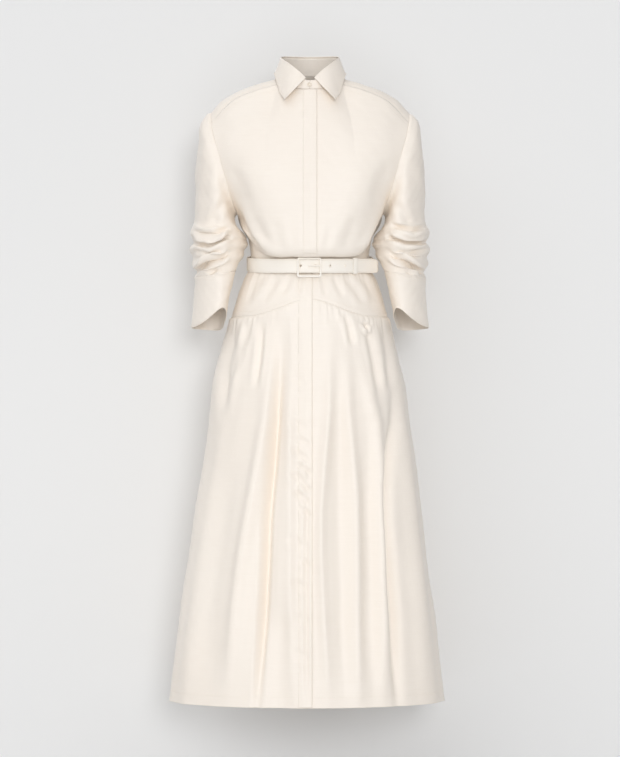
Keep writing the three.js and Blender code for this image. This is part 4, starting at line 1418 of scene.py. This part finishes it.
@dataclass
class Collar(Garment):
    """A stand on the neckline and a fall with two points, and the small button."""

    half: float = 60
    front: float = 74
    back: float = 56
    back_top: float = 70
    front_top: float = 15
    curve: float = 3.7
    open: float = 0.045
    fall_drop: float = 45
    fall_out: float = 16
    lift: float = 3.7
    tip: tuple[float, float, float] = (54, -98, -26)
    leaf_share: float = 0.3
    shoulder_z: float = 34
    chest_z: float = -40
    chest_depth: float = 105
    columns: int = 100
    wall: float = 1.5
    stitched_row: int = -4
    stitched_columns: tuple[int, int] = (4, -5)
    button_turns: int = 40
    button_at: tuple[float, float, float] = (-1.0, -76.4, 6.0)
    # radius and place forwards, from the middle of the back to the middle of the face
    button_profile: tuple[tuple[float, float], ...] = (
        (0, 0),
        (4.3, 0),
        (4.6, -0.5),
        (4.6, -1.3),
        (4.2, -1.9),
        (3.4, -1.9),
        (2.9, -1.45),
        (0.01, -1.35),
    )

    def fold_line(self, share: Array, open_share: float) -> Array:
        """Points of the fold line on the wearer's left, from its front end to the back centre."""
        angle = mix(open_share, 1, share) * math.pi
        depth = np.where(angle < math.pi / 2, self.front, self.back)
        fall = (1 - np.maximum(0, angle / math.pi - self.open)) ** self.curve
        z = mix(self.back_top, self.front_top, fall)
        return np.stack([self.half * np.sin(angle), -depth * np.cos(angle), z], axis=-1)

    def stand(self) -> Array:
        """Grid of the whole stand."""
        shares = np.linspace(0, 1, self.columns)
        foot = self.cut.neck(shares)
        top = self.fold_line(shares, 0)
        rows = np.linspace(0, 1, 22)[:, None, None]
        return across_line(mix(foot, top, rows))

    def fall(self) -> Array:
        """Grid of the whole fall."""
        shares = np.linspace(0, 1, self.columns)
        start = self.fold_line(shares, self.open) + np.array([0, 0, self.lift])
        away = start * np.array([1, 1, 0])
        away /= np.linalg.norm(away, axis=-1, keepdims=True)
        around = mix(0.235, 1, shares) * math.pi
        depth = np.where(around < math.pi / 2, self.front, self.back)
        edge = np.stack(
            [
                (self.half + self.fall_out) * np.sin(around),
                -(depth + self.fall_out) * np.cos(around),
                start[:, 2] - self.fall_drop,
            ],
            axis=-1,
        )
        to_tip = np.clip(1 - shares / self.leaf_share, 0, 1)[:, None]
        edge = mix(edge, np.array(self.tip), to_tip)
        shoulder = mix(self.chest_z, self.shoulder_z, ease(1 + edge[:, 1] / self.chest_depth))
        edge[:, 2] = np.maximum(edge[:, 2], shoulder)
        keys = np.arange(5.0)
        at = stations(0, 1, 14, *np.linspace(1, 4, 50))
        along = smooth_table(keys, np.array([0, 0.02, 0.3, 0.65, 1]), at)[:, None, None]
        rise = smooth_table(keys, np.array([0, 1, 0.3, 0, 0.0]), at)[:, None, None]
        swell = smooth_table(keys, np.array([0, 1.4, 1.8, 1.2, 0.0]), at)[:, None, None]
        grid = mix(start, edge, along) + away * swell + rise * np.array([0, 0, 1.0])
        grid = grid + away * (0.5 * wander(grid, 61, 40) * ease(at / 2)[:, None])[..., None]
        return across_line(grid)

    def make(self) -> None:
        """Makes the stand, the fall and the button."""
        self.cloth("collar_stand", self.stand(), False, AXIS, self.wall)
        grid = self.fall()
        self.cloth("collar_fall", grid, False, AXIS, self.wall)
        self.sewing.along("collar", grid, AXIS, (self.stitched_row, slice(4, -4)))
        for column in self.stitched_columns:
            self.sewing.along("collar", grid, AXIS, (slice(14, -4), column))
        self._button()

    def _button(self) -> None:
        """A small button with a rim, in front of the stand."""
        x, y, z = self.button_at
        turns = np.linspace(0, 2 * math.pi, self.button_turns, endpoint=False)
        grid = [
            [(x + radius * math.cos(turn), y + forwards, z + radius * math.sin(turn)) for turn in turns]
            for radius, forwards in self.button_profile
        ]
        piece = new_object("collar_button_shell", grid, grid_faces(len(grid), len(turns), True))
        clean_mesh(piece)
        dress_piece(piece, self.finishes.button, Slot.BUTTON, "collar_button")


def across_line(grid: Array) -> Array:
    """A half grid that ends on the centre line, joined to its mirror image there."""
    return np.concatenate([grid, sided(grid[:, -2::-1], -1)], axis=1)


def clean_mesh(piece: bpy.types.Object) -> None:
    """Merges doubled points and turns the faces outwards."""
    edited = bmesh.new()
    edited.from_mesh(piece.data)
    bmesh.ops.remove_doubles(edited, verts=edited.verts, dist=1e-5)
    bmesh.ops.dissolve_degenerate(edited, edges=edited.edges, dist=1e-6)
    bmesh.ops.recalc_face_normals(edited, faces=edited.faces)
    edited.to_mesh(piece.data)
    edited.free()
    piece.data.shade_smooth()


@dataclass
class Skirt(Garment):
    """The curved hip yoke, the gathered skirt under it and the covered front band."""

    quarter_columns: int = 140
    back_columns: int = 200
    rows: int = 188
    back_rows: int = 130
    hip_rows: int = 36
    back_folds: int = 13
    back_depth: float = 8
    gathers: Gathers = Gathers(11, 2.6, 75, 71)
    fine: Gathers = Gathers(5.0, 0.8, 34, 72)
    hip_gathers: Gathers = Gathers(13, 1.5, 70, 75)
    # radii that turn an angle into a length along the seam
    seam_radius: float = 150
    hip_radius: float = 140
    band_centre: float = -9.5
    # the hip's first row under the belt that the band covers
    band_start: int = 8
    # name, first and last angle in degrees from the front centre towards the wearer's left
    panels: tuple[tuple[str, float, float], ...] = (
        ("front_left", 0, 90),
        ("back", 90, 270),
        ("front_right", 270, 360),
    )

    def _angles(self, low: float, high: float) -> Array:
        """Angles of a panel's columns, closer together at its seams."""
        count = self.back_columns if high - low > 100 else self.quarter_columns
        return np.radians(low + (high - low) * spaced(count, 0.01))

    @staticmethod
    def _turned(angle: Array) -> Array:
        """Angles from half a turn below 0 to half a turn above."""
        return np.mod(angle + math.pi, 2 * math.pi) - math.pi

    def _folds(self, angle: Array, z: Array) -> Array:
        """How far the skirt's folds stand out, before its small gathers.

        Args:
            angle: the columns' angles, as a grid.
            z: the points' heights.

        Returns:
            Millimetres outwards.
        """
        plain = self.cut.body(angle, z)
        front = ease(np.cos(angle) * 6 + 0.6)
        out = lift_all(SKIRT_CREASES, plain) * front
        calm = ease((np.abs(plain[..., 0] - self.band_centre) - 14) / 18)
        out *= mix(1, 0.3 + 0.7 * calm, front)
        down = (z + 500) / (self.cut.hem_z + 500)
        behind = ease(-np.cos(angle) * 3)
        wave = np.sin(angle * self.back_folds + 1.1 * np.sin(angle * 3) + 0.25 * np.sin(down * 3))
        out += self.back_depth * behind * ease(down * 3) * (wave + 0.25 * np.sin(angle * 29 + 2 * down))
        side = 1 - np.abs(np.cos(angle))
        out += 1.6 * ease(down * 2) * side * np.sin(angle * 17 + down)
        return out

    def panel(self, low: float, high: float) -> Array:
        """Grid of one panel of the skirt.

        Args:
            low: first angle, in degrees.
            high: last angle, in degrees.

        Returns:
            The grid.
        """
        angle = self._angles(low, high)[None, :]
        rows = self.back_rows if high - low > 100 else self.rows
        share = np.unique(np.concatenate([np.linspace(0, 1, rows) ** 1.25, [0.0015, 0.004, 0.996, 0.998]]))
        top = self.cut.hip_seam(angle)
        z = mix(top, self.cut.hem_z, share[:, None])
        down = top - z
        fade = ease(down / 26)
        out = self._folds(angle, z) * fade
        around = self._turned(angle) * self.seam_radius
        calm = ease((np.abs(self.cut.half_width(z) * np.sin(angle) - self.band_centre) - 15) / 16)
        calm = np.where(np.cos(angle) > 0, calm, 1)
        out += (self.gathers.lift(around, down) + self.fine.lift(around, down)) * calm
        plain = self.cut.body(angle, z)
        out += (0.9 * wander(plain, 81, 110) + 0.35 * wander(plain, 82, 34)) * fade
        out -= 0.8 * bell(down / 2.5)
        band = (np.cos(angle) > 0) * np.where(np.abs(plain[..., 0]) < 60, 1, 0)
        out += lift_all(OPENING_PUCKERS, plain) * band
        return self.cut.body(angle, z, out)

    def hip(self, low: float, high: float) -> Array:
        """Grid of one panel of the hip yoke.

        Args:
            low: first angle, in degrees.
            high: last angle, in degrees.

        Returns:
            The grid.
        """
        angle = self._angles(low, high)[None, :]
        share = stations(0, 1, self.hip_rows, 0.98, 0.99)[:, None]
        seam = self.cut.hip_seam(angle)
        z = mix(self.cut.waist_z, seam, share)
        plain = self.cut.body(angle, z)
        front = ease(np.cos(angle) * 5 + 0.5)
        out = lift_all(HIP_CREASES, plain) * front
        out += self.hip_gathers.lift(self._turned(angle) * self.hip_radius, self.cut.waist_z - z)
        out += 0.5 * wander(plain, 83, 45)
        down = (z - seam) / 12
        out *= ease(down) * ease((self.cut.waist_z - z) / 10)
        out -= 0.8 * bell((z - seam) / 2.5)
        return self.cut.body(angle, z, out)

    def make(self) -> None:
        """Makes the panels of the hip yoke and skirt, and the band."""
        grids: dict[str, Array] = {}
        for name, low, high in self.panels:
            for kind, grid in (("hip_yoke", self.hip(low, high)), ("skirt", self.panel(low, high))):
                grids[f"{kind}_{name}"] = grid
                self.cloth(f"{kind}_{name}", grid, False, AXIS)
                row = -6 if kind == "hip_yoke" or name == "back" else -7
                self.sewing.along(kind, grid, AXIS, (row, slice(1, -1)))
        rows = []
        for kind, first in (("hip_yoke", self.band_start), ("skirt", 1)):
            left, right = grids[f"{kind}_front_left"], grids[f"{kind}_front_right"]
            rows += list(np.concatenate([right[:, :-1], left], axis=1)[first:-1])
        self.front_band("placket_skirt", rows, self.band_centre, 27, 0.35)


@dataclass
class Belt:
    """The strap with its holes, the covered buckle, its prong and the keeper."""

    finishes: Finishes
    sewing: Stitching
    half: float = 130.5
    front: float = 110
    back: float = 108
    front_z: float = -372.5
    back_z: float = -359
    start: float = 6
    lap: float = 300
    full: float = 346
    leave: float = 412
    tip: float = 52
    height: float = 29.5
    thick: float = 2.4
    layer: float = 3.0
    holes: int = 4
    first_hole: float = -18.5
    hole_pitch: float = 29.2
    hole_radius: float = 1.9
    buckle_x: float = -1.5
    buckle_z: float = -376
    buckle_width: float = 51
    buckle_height: float = 41
    bar: float = 4.2
    bar_depth: float = 1.7
    corner: float = 4.0
    prong: float = 1.5
    rim: float = 0.55
    keeper_at: float = 44
    # the section's points that carry a row of stitches
    stitched: tuple[int, int] = (2, 8)

    def centre(self, degrees: Array | float, out: Array | float) -> Array:
        """Points of the belt's middle line.

        Args:
            degrees: angle from the front centre towards the wearer's left.
            out: distance outside the belt's inner face.

        Returns:
            Points, in millimetres.
        """
        angle = np.radians(degrees)
        depth = np.where(np.cos(angle) > 0, self.front, self.back)
        z = mix(self.back_z, self.front_z, ease((1 + np.cos(angle)) / 2))
        return np.stack([(self.half + out) * np.sin(angle), -(depth + out) * np.cos(angle), z], axis=-1)

    def _section(self) -> list[tuple[float, float]]:
        """Outline of the strap's section: (out, up), with rounded long edges and a stitched dip."""
        half = self.height / 2
        near = [half - 0.5, half - 2.2, half - 3.2, half - 4.6, 6]
        ups = [-up for up in near] + [0] + near[::-1]
        dips = [-0.5, -0.1, -0.3, 0, 0, 0, 0, 0, -0.3, -0.1, -0.5]
        outside = [(self.thick + dip, up) for up, dip in zip(ups, dips)]
        rounds = [(self.thick * 0.5, half), (0.35, half - 0.4)]
        inside = [(0, up) for up in (half - 1.5, 0, -half + 1.5)]
        return outside + rounds + inside + [(0.35, -half + 0.4), (self.thick * 0.5, -half)]

    def strap(self) -> None:
        """Makes the pierced strap."""
        turns = np.arange(self.start, self.leave + 0.01, 2.0)
        layer = self.layer * ease((turns - self.lap) / (self.full - self.lap))
        inner = self.centre(turns, layer)
        outer = self.centre(turns, layer + 1)
        along = inner[-1] - inner[-2]
        along[2] = 0
        along /= np.linalg.norm(along)
        steps = np.linspace(0, self.tip, 14)[1:, None]
        inner = np.concatenate([inner, inner[-1] + along * steps])
        outer = np.concatenate([outer, outer[-1] + along * steps])
        narrow = np.ones(len(inner))
        narrow[-3:] = (0.97, 0.9, 0.72)
        out = (outer - inner)[:, None, :]
        section = np.array(self._section())
        up = section[:, 1][None, :, None] * narrow[:, None, None] * np.array([0, 0, 1.0])
        grid = inner[:, None, :] + out * section[:, 0][None, :, None] + up
        piece = new_object("belt_strap", grid, capped(len(grid), len(section)))
        for column in self.stitched:
            self.sewing.along("belt", grid, AXIS, (slice(2, -3), column))
        clean_mesh(piece)
        pierced = drilled(piece, self._hole_centres(), self.hole_radius)
        dress_piece(pierced, self.finishes.belt, Slot.BELT, "belt")

    def _hole_centres(self) -> list[Array]:
        """Middles of the holes on the outer layer's face."""
        places = [self.first_hole + index * self.hole_pitch for index in range(self.holes)]
        outside = self.layer + self.thick
        return [self.centre(math.degrees(math.asin(x / self.half)), outside) for x in places]

    def rims(self) -> None:
        """Makes the sewn rings round the holes."""
        vertices: list[Array] = []
        faces: list[tuple[int, ...]] = []
        for centre in self._hole_centres():
            ring = torus(centre - np.array([0, 0.05, 0]), self.hole_radius + self.rim, self.rim)
            base = len(vertices) * ring.shape[0] * ring.shape[1]
            corners = grid_faces(*ring.shape[:2], True, True)
            faces += [tuple(base + corner for corner in face) for face in corners]
            vertices.append(ring)
        piece = new_object("belt_hole_rims", vertices, faces)
        clean_mesh(piece)
        dress_piece(piece, self.finishes.thread, Slot.BELT)

    def buckle(self) -> None:
        """Makes the covered frame and its prong."""
        face = -(self.front + self.layer + self.thick + 0.5)
        self._frame(face)
        y, z = face - 4.4, self.buckle_z + 3
        end = self.buckle_x + self.buckle_width / 2 - 2.2
        prong = capsule(np.array([self.buckle_x - 3, y, z]), np.array([end, y, z]), self.prong)
        piece = new_object("buckle_prong_metal", *prong)
        clean_mesh(piece)
        dress_piece(piece, self.finishes.belt, Slot.BELT, "buckle_prong")

    def _frame(self, face: float) -> None:
        """Makes the frame: a rounded section swept round a rounded rectangle.

        Args:
            face: y of its back.
        """
        reach = self.bar / 2
        x, z = self.buckle_width / 2 - reach, self.buckle_height / 2 - reach
        radius = self.corner - reach + 0.6
        path = []
        for sign_x, sign_z, first in ((1, 1, 0), (-1, 1, 90), (-1, -1, 180), (1, -1, 270)):
            centre = np.array([sign_x * (x - radius), sign_z * (z - radius)])
            for turn in np.radians(np.linspace(first, first + 90, 8)):
                way = np.array([math.cos(turn), math.sin(turn)])
                path.append((centre + way * radius, way))
        deep = self.bar_depth
        turns = np.linspace(0, 2 * math.pi, 14, endpoint=False)
        section = [(reach * math.cos(turn), deep * math.sin(turn)) for turn in turns]
        grid = []
        for point, way in path:
            places = [(point + way * out, face - deep - forward) for out, forward in section]
            grid.append([(self.buckle_x + place[0], y, self.buckle_z + place[1]) for place, y in places])
        faces = grid_faces(len(path), len(section), True, True)
        piece = new_object("buckle_frame_covered", grid, faces)
        clean_mesh(piece)
        dress_piece(piece, self.finishes.belt, Slot.BELT, "buckle_frame")

    def keeper(self) -> None:
        """Makes a loop of the belt's cloth round both layers of the strap."""
        layers = (self.layer + self.thick) / 2
        middle = self.centre(self.keeper_at, layers)
        along = (self.centre(self.keeper_at + 2, layers) - middle) * np.array([1, 1, 0])
        along /= np.linalg.norm(along)
        outward = np.array([along[1], -along[0], 0])
        deep = layers + 1.0
        high = self.height / 2 + 0.9
        loop = []
        for turn in np.radians(np.arange(0, 360, 10)):
            out = math.copysign(abs(math.cos(turn)) ** 0.35, math.cos(turn)) * deep
            up = math.copysign(abs(math.sin(turn)) ** 0.25, math.sin(turn)) * high
            loop.append(middle + outward * out + np.array([0, 0, up]))
        centre = np.mean(loop, axis=0)
        section = [(-6, 0), (-6.2, 0.5), (-5.4, 1.1), (0, 1.25), (5.4, 1.1), (6.2, 0.5), (6, 0), (0, 0)]
        grid = []
        for point in loop:
            away = (point - centre) / np.linalg.norm(point - centre)
            grid.append([point + along * side + away * out for side, out in section])
        faces = grid_faces(len(loop), len(section), True, True)
        piece = new_object("belt_keeper_loop", grid, faces)
        clean_mesh(piece)
        dress_piece(piece, self.finishes.belt, Slot.BELT, "belt_keeper")

    def make(self) -> None:
        """Makes every piece of the belt."""
        self.strap()
        self.rims()
        self.buckle()
        self.keeper()


def torus(centre: Array, radius: float, tube: float) -> Array:
    """Grid of a ring that faces the front.

    Args:
        centre: its middle.
        radius: of the ring.
        tube: half its thickness.

    Returns:
        The grid.
    """
    turns = np.linspace(0, 2 * math.pi, 20, endpoint=False)[:, None]
    tube_turns = np.linspace(0, 2 * math.pi, 8, endpoint=False)[None, :]
    reach = radius + tube * np.cos(tube_turns)
    x = centre[0] + reach * np.cos(turns)
    y = centre[1] - tube * np.sin(tube_turns) + 0 * turns
    z = centre[2] + reach * np.sin(turns)
    return np.stack([x, y, z], axis=-1)


def capsule(start: Array, end: Array, radius: float) -> tuple[Array, list[tuple[int, ...]]]:
    """Points and faces of a round bar with rounded ends, lying along X.

    Args:
        start: one end.
        end: the other end.
        radius: of the bar.

    Returns:
        Its points and faces.
    """
    stations = [(0, 0.05), (0.3, 0.6), (0.9, 0.95), (1.6, 1.0)]
    length = float(np.linalg.norm(end - start))
    places = stations + [(length - at, share) for at, share in reversed(stations)]
    way = (end - start) / length
    turns = np.linspace(0, 2 * math.pi, 12, endpoint=False)
    circle = np.stack([0 * turns, np.cos(turns), np.sin(turns)], axis=-1)
    grid = np.array([start + way * at + radius * share * circle for at, share in places])
    return grid, capped(len(grid), len(turns))


# length of the drill in metres, which reaches through the outer layer only
DRILL_DEPTH = 0.0052


def drilled(piece: bpy.types.Object, centres: list[Array], radius: float) -> bpy.types.Object:
    """Cuts round holes through the front face of a piece.

    Args:
        piece: the piece.
        centres: middles of the holes on its face.
        radius: of the holes.

    Returns:
        The cut piece.
    """
    cutter = bmesh.new()
    for centre in centres:
        size = radius * MM
        made = bmesh.ops.create_cone(
            cutter, cap_ends=True, segments=20, radius1=size, radius2=size, depth=DRILL_DEPTH
        )
        for vertex in made["verts"]:
            x, y, z = vertex.co
            vertex.co = Vector((x + centre[0] * MM, centre[1] * MM + z, centre[2] * MM + y))
    bmesh.ops.recalc_face_normals(cutter, faces=cutter.faces)
    mesh = bpy.data.meshes.new("drill")
    cutter.to_mesh(mesh)
    cutter.free()
    drill = placed("drill", mesh)
    cut = piece.modifiers.new("holes", "BOOLEAN")
    cut.operation = "DIFFERENCE"
    cut.solver = "EXACT"
    cut.object = drill
    plain = applied(piece)
    bpy.data.objects.remove(drill)
    return plain


def applied(piece: bpy.types.Object) -> bpy.types.Object:
    """Turns a piece and its modifiers into a plain mesh of the same name.

    Args:
        piece: the piece.

    Returns:
        The new piece.
    """
    name = piece.name
    bpy.context.view_layer.update()
    graph = bpy.context.evaluated_depsgraph_get()
    mesh = bpy.data.meshes.new_from_object(piece.evaluated_get(graph), depsgraph=graph)
    bpy.data.objects.remove(piece)
    mesh.shade_smooth()
    return placed(name, mesh)


# Studio


@dataclass(frozen=True)
class Studio:
    """Pale backdrop and floor, soft light and the camera."""

    grey: float = 0.8148
    ambient: float = 0.5
    light: tuple[float, float, float] = (0.985, 1.0, 1.03)
    sun: float = 0.88
    sun_right: float = 7
    sun_up: float = 9
    sun_angle: float = 16
    fill: float = 0.72
    fill_left: float = 36
    fill_up: float = 48
    fill_angle: float = 70
    behind: float = 0.5
    behind_left: float = 150
    behind_up: float = 38
    bounce: float = 0.3
    bounce_up: float = -16
    bounce_angle: float = 30
    wall_y: float = 0.27
    wall_reach: float = 3.0
    wall_colour: tuple[float, float, float] = (0.815, 0.805, 0.784)
    # how far the wall is turned from the camera where it is whole, and where it has gone
    whole_at: float = 0.5
    gone_at: float = 0.8
    floor_z: float = -1.56
    floor_radius: float = 1.5
    floor_colour: tuple[float, float, float] = (0.8, 0.8, 0.8)
    # distances from the middle where the floor starts to melt, and where it has gone
    melt_start: float = 0.7
    melt_end: float = 1.45
    camera_distance: float = 8.0
    camera_z: float = -0.606
    view_height: float = 1.59

    def build(self) -> None:
        """Sets up the world, the lights, the floor, the wall and the camera."""
        bpy.context.scene.view_settings.view_transform = "Standard"
        self._world()
        self._lights()
        self._floor()
        self._wall()
        self._camera()

    def _world(self) -> None:
        """Backdrop grey to the camera and soft light to everything else."""
        world = bpy.data.worlds.new("studio")
        world.use_nodes = True
        bpy.context.scene.world = world
        tree = world.node_tree
        tree.nodes.clear()
        shown = add(tree, "ShaderNodeBackground", Color=(self.grey, self.grey, self.grey, 1))
        light = add(tree, "ShaderNodeBackground", Color=(*self.light, 1), Strength=self.ambient)
        choice = add(tree, "ShaderNodeMixShader")
        wire(
            tree,
            (add(tree, "ShaderNodeLightPath"), "Is Camera Ray", choice, "Fac"),
            (light, "Background", choice, 1),
            (shown, "Background", choice, 2),
            (choice, "Shader", add(tree, "ShaderNodeOutputWorld"), "Surface"),
        )

    def _lights(self) -> None:
        """A broad key light, very soft ones from above and behind, and a weak one from low down."""
        self._light("key", self.sun, self.sun_right, self.sun_up, self.sun_angle)
        self._light("fill", self.fill, -self.fill_left, self.fill_up, self.fill_angle)
        self._light("behind", self.behind, -self.behind_left, self.behind_up, self.fill_angle)
        self._light("bounce", self.bounce, 0, self.bounce_up, self.bounce_angle)

    def _light(self, name: str, energy: float, right: float, up: float, angle: float) -> None:
        """Adds a soft light.

        Args:
            name: its name.
            energy: its strength.
            right: degrees to the right of the camera.
            up: degrees above the camera.
            angle: how wide it is, in degrees.
        """
        turn, rise = math.radians(right), math.radians(up)
        source = Vector((math.sin(turn) * math.cos(rise), -math.cos(turn) * math.cos(rise), math.sin(rise)))
        light = bpy.data.lights.new(name, "SUN")
        light.energy = energy
        light.color = self.light
        light.angle = math.radians(angle)
        placed(name, light).rotation_euler = source.to_track_quat("Z", "Y").to_euler()

    def _floor(self) -> None:
        """A round pale floor that melts into the backdrop at its rim."""
        mesh = bpy.data.meshes.new("floor")
        made = bmesh.new()
        bmesh.ops.create_circle(made, cap_ends=True, segments=96, radius=self.floor_radius)
        bmesh.ops.translate(made, verts=made.verts, vec=(0, 0, self.floor_z))
        made.to_mesh(mesh)
        made.free()
        floor = placed("floor", mesh)
        material, tree, shader = new_material("pale floor")
        preset(shader, Base_Color=(*self.floor_colour, 1), Roughness=0.9)
        flat = add(tree, "ShaderNodeMapping", Scale=(1, 1, 0))
        far = add(tree, "ShaderNodeVectorMath")
        far.operation = "LENGTH"
        spread = add(tree, "ShaderNodeMapRange", From_Min=self.melt_start, From_Max=self.melt_end)
        glow = add(tree, "ShaderNodeEmission", Color=(self.grey, self.grey, self.grey, 1))
        choice = add(tree, "ShaderNodeMixShader")
        wire(
            tree,
            (add(tree, "ShaderNodeTexCoord"), "Object", flat, "Vector"),
            (flat, "Vector", far, 0),
            (far, "Value", spread, "Value"),
            (spread, "Result", choice, "Fac"),
            (shader, "BSDF", choice, 1),
            (glow, "Emission", choice, 2),
            (choice, "Shader", tree.nodes["Material Output"], "Surface"),
        )
        mesh.materials.append(material)

    def _wall(self) -> None:
        """A backdrop close behind the dress that takes its soft shadow, clear from behind and edge-on."""
        reach = self.wall_reach
        corners = [(-reach, self.wall_y, -reach), (reach, self.wall_y, -reach)]
        corners += [(reach, self.wall_y, reach), (-reach, self.wall_y, reach)]
        mesh = bpy.data.meshes.new("backdrop")
        mesh.from_pydata(corners, [], [(0, 1, 2, 3)])
        wall = placed("backdrop", mesh)
        material, tree, _ = new_material("backdrop")
        tree.nodes.clear()
        paint = add(tree, "ShaderNodeBsdfDiffuse", Color=(*self.wall_colour, 1))
        clear, choice = add(tree, "ShaderNodeBsdfTransparent"), add(tree, "ShaderNodeMixShader")
        front, shown, upright = (add(tree, "ShaderNodeMath") for _ in range(3))
        front.operation = "SUBTRACT"
        front.inputs[0].default_value = 1
        shown.operation = upright.operation = "MULTIPLY"
        fade = add(tree, "ShaderNodeMapRange", From_Min=self.gone_at, From_Max=self.whole_at)
        wire(
            tree,
            (add(tree, "ShaderNodeNewGeometry"), "Backfacing", front, 1),
            (add(tree, "ShaderNodeLightPath"), "Is Camera Ray", shown, 0),
            (front, 0, shown, 1),
            (add(tree, "ShaderNodeLayerWeight"), "Facing", fade, "Value"),
            (shown, 0, upright, 0),
            (fade, "Result", upright, 1),
            (upright, 0, choice, "Fac"),
            (clear, "BSDF", choice, 1),
            (paint, "BSDF", choice, 2),
            (choice, "Shader", add(tree, "ShaderNodeOutputMaterial"), "Surface"),
        )
        mesh.materials.append(material)

    def _camera(self) -> None:
        """The photograph's viewpoint: level, in front, far away."""
        camera = bpy.data.cameras.new("camera")
        camera.sensor_fit = "VERTICAL"
        camera.sensor_height = 36
        camera.lens = 36 * self.camera_distance / self.view_height
        holder = placed("camera", camera)
        holder.location = (0, -self.camera_distance, self.camera_z)
        holder.rotation_euler = (math.pi / 2, 0, 0)
        bpy.context.scene.camera = holder


@dataclass(frozen=True)
class Flat:
    """The size that a piece of cloth was cut to, in metres."""

    piece: str
    width: float
    length: float
    area: float
    held: str = "hung"

    def declare(self) -> None:
        """Does nothing: the size is not passed on to anything."""


FLATS = (
    Flat("bodice_front_left_cloth", 0.25, 0.42, 0.086, "gathered"),
    Flat("bodice_front_right_cloth", 0.25, 0.42, 0.086, "gathered"),
    Flat("bodice_back_cloth", 0.43, 0.38, 0.14, "gathered"),
    Flat("shoulder_yoke_cloth", 0.42, 0.22, 0.066),
    Flat("sleeve_left_cloth", 0.42, 0.36, 0.125, "gathered"),
    Flat("sleeve_right_cloth", 0.42, 0.36, 0.125, "gathered"),
    Flat("cuff_left_cloth", 0.31, 0.14, 0.035),
    Flat("cuff_right_cloth", 0.31, 0.14, 0.035),
    Flat("collar_stand_cloth", 0.42, 0.06, 0.0175),
    Flat("collar_fall_cloth", 0.48, 0.07, 0.022),
    Flat("placket_bodice_cloth", 0.032, 0.35, 0.011),
    Flat("placket_skirt_cloth", 0.032, 0.9, 0.028),
    Flat("hip_yoke_front_left_cloth", 0.22, 0.15, 0.0205),
    Flat("hip_yoke_front_right_cloth", 0.22, 0.15, 0.0205),
    Flat("hip_yoke_back_cloth", 0.43, 0.15, 0.0465),
    Flat("skirt_front_left_cloth", 0.46, 0.86, 0.31, "gathered"),
    Flat("skirt_front_right_cloth", 0.46, 0.86, 0.31, "gathered"),
    Flat("skirt_back_cloth", 0.93, 0.84, 0.6, "gathered"),
    Flat("belt_strap", 0.93, 0.031, 0.0283, "stretched"),
)


def plain(corners: object) -> list[list[float]]:
    """A box's corners as plain lists."""
    return [[float(value) for value in corner] for corner in corners]


def main() -> None:
    """Builds the studio and the dress."""
    logging.basicConfig(level=logging.INFO, format="%(name)s: %(message)s")
    Studio().build()
    cut = Cut()
    finishes = Finishes()
    sewing = Stitching(finishes)
    Skirt(cut, finishes, sewing).make()
    Bodice(cut, finishes, sewing).make()
    ShoulderYoke(cut, finishes, sewing).make()
    Sleeves(cut, finishes, sewing).make()
    Collar(cut, finishes, sewing).make()
    Belt(finishes, sewing).make()
    sewing.make()
    for flat in FLATS:
        flat.declare()


if __name__ == "__main__":
    main()
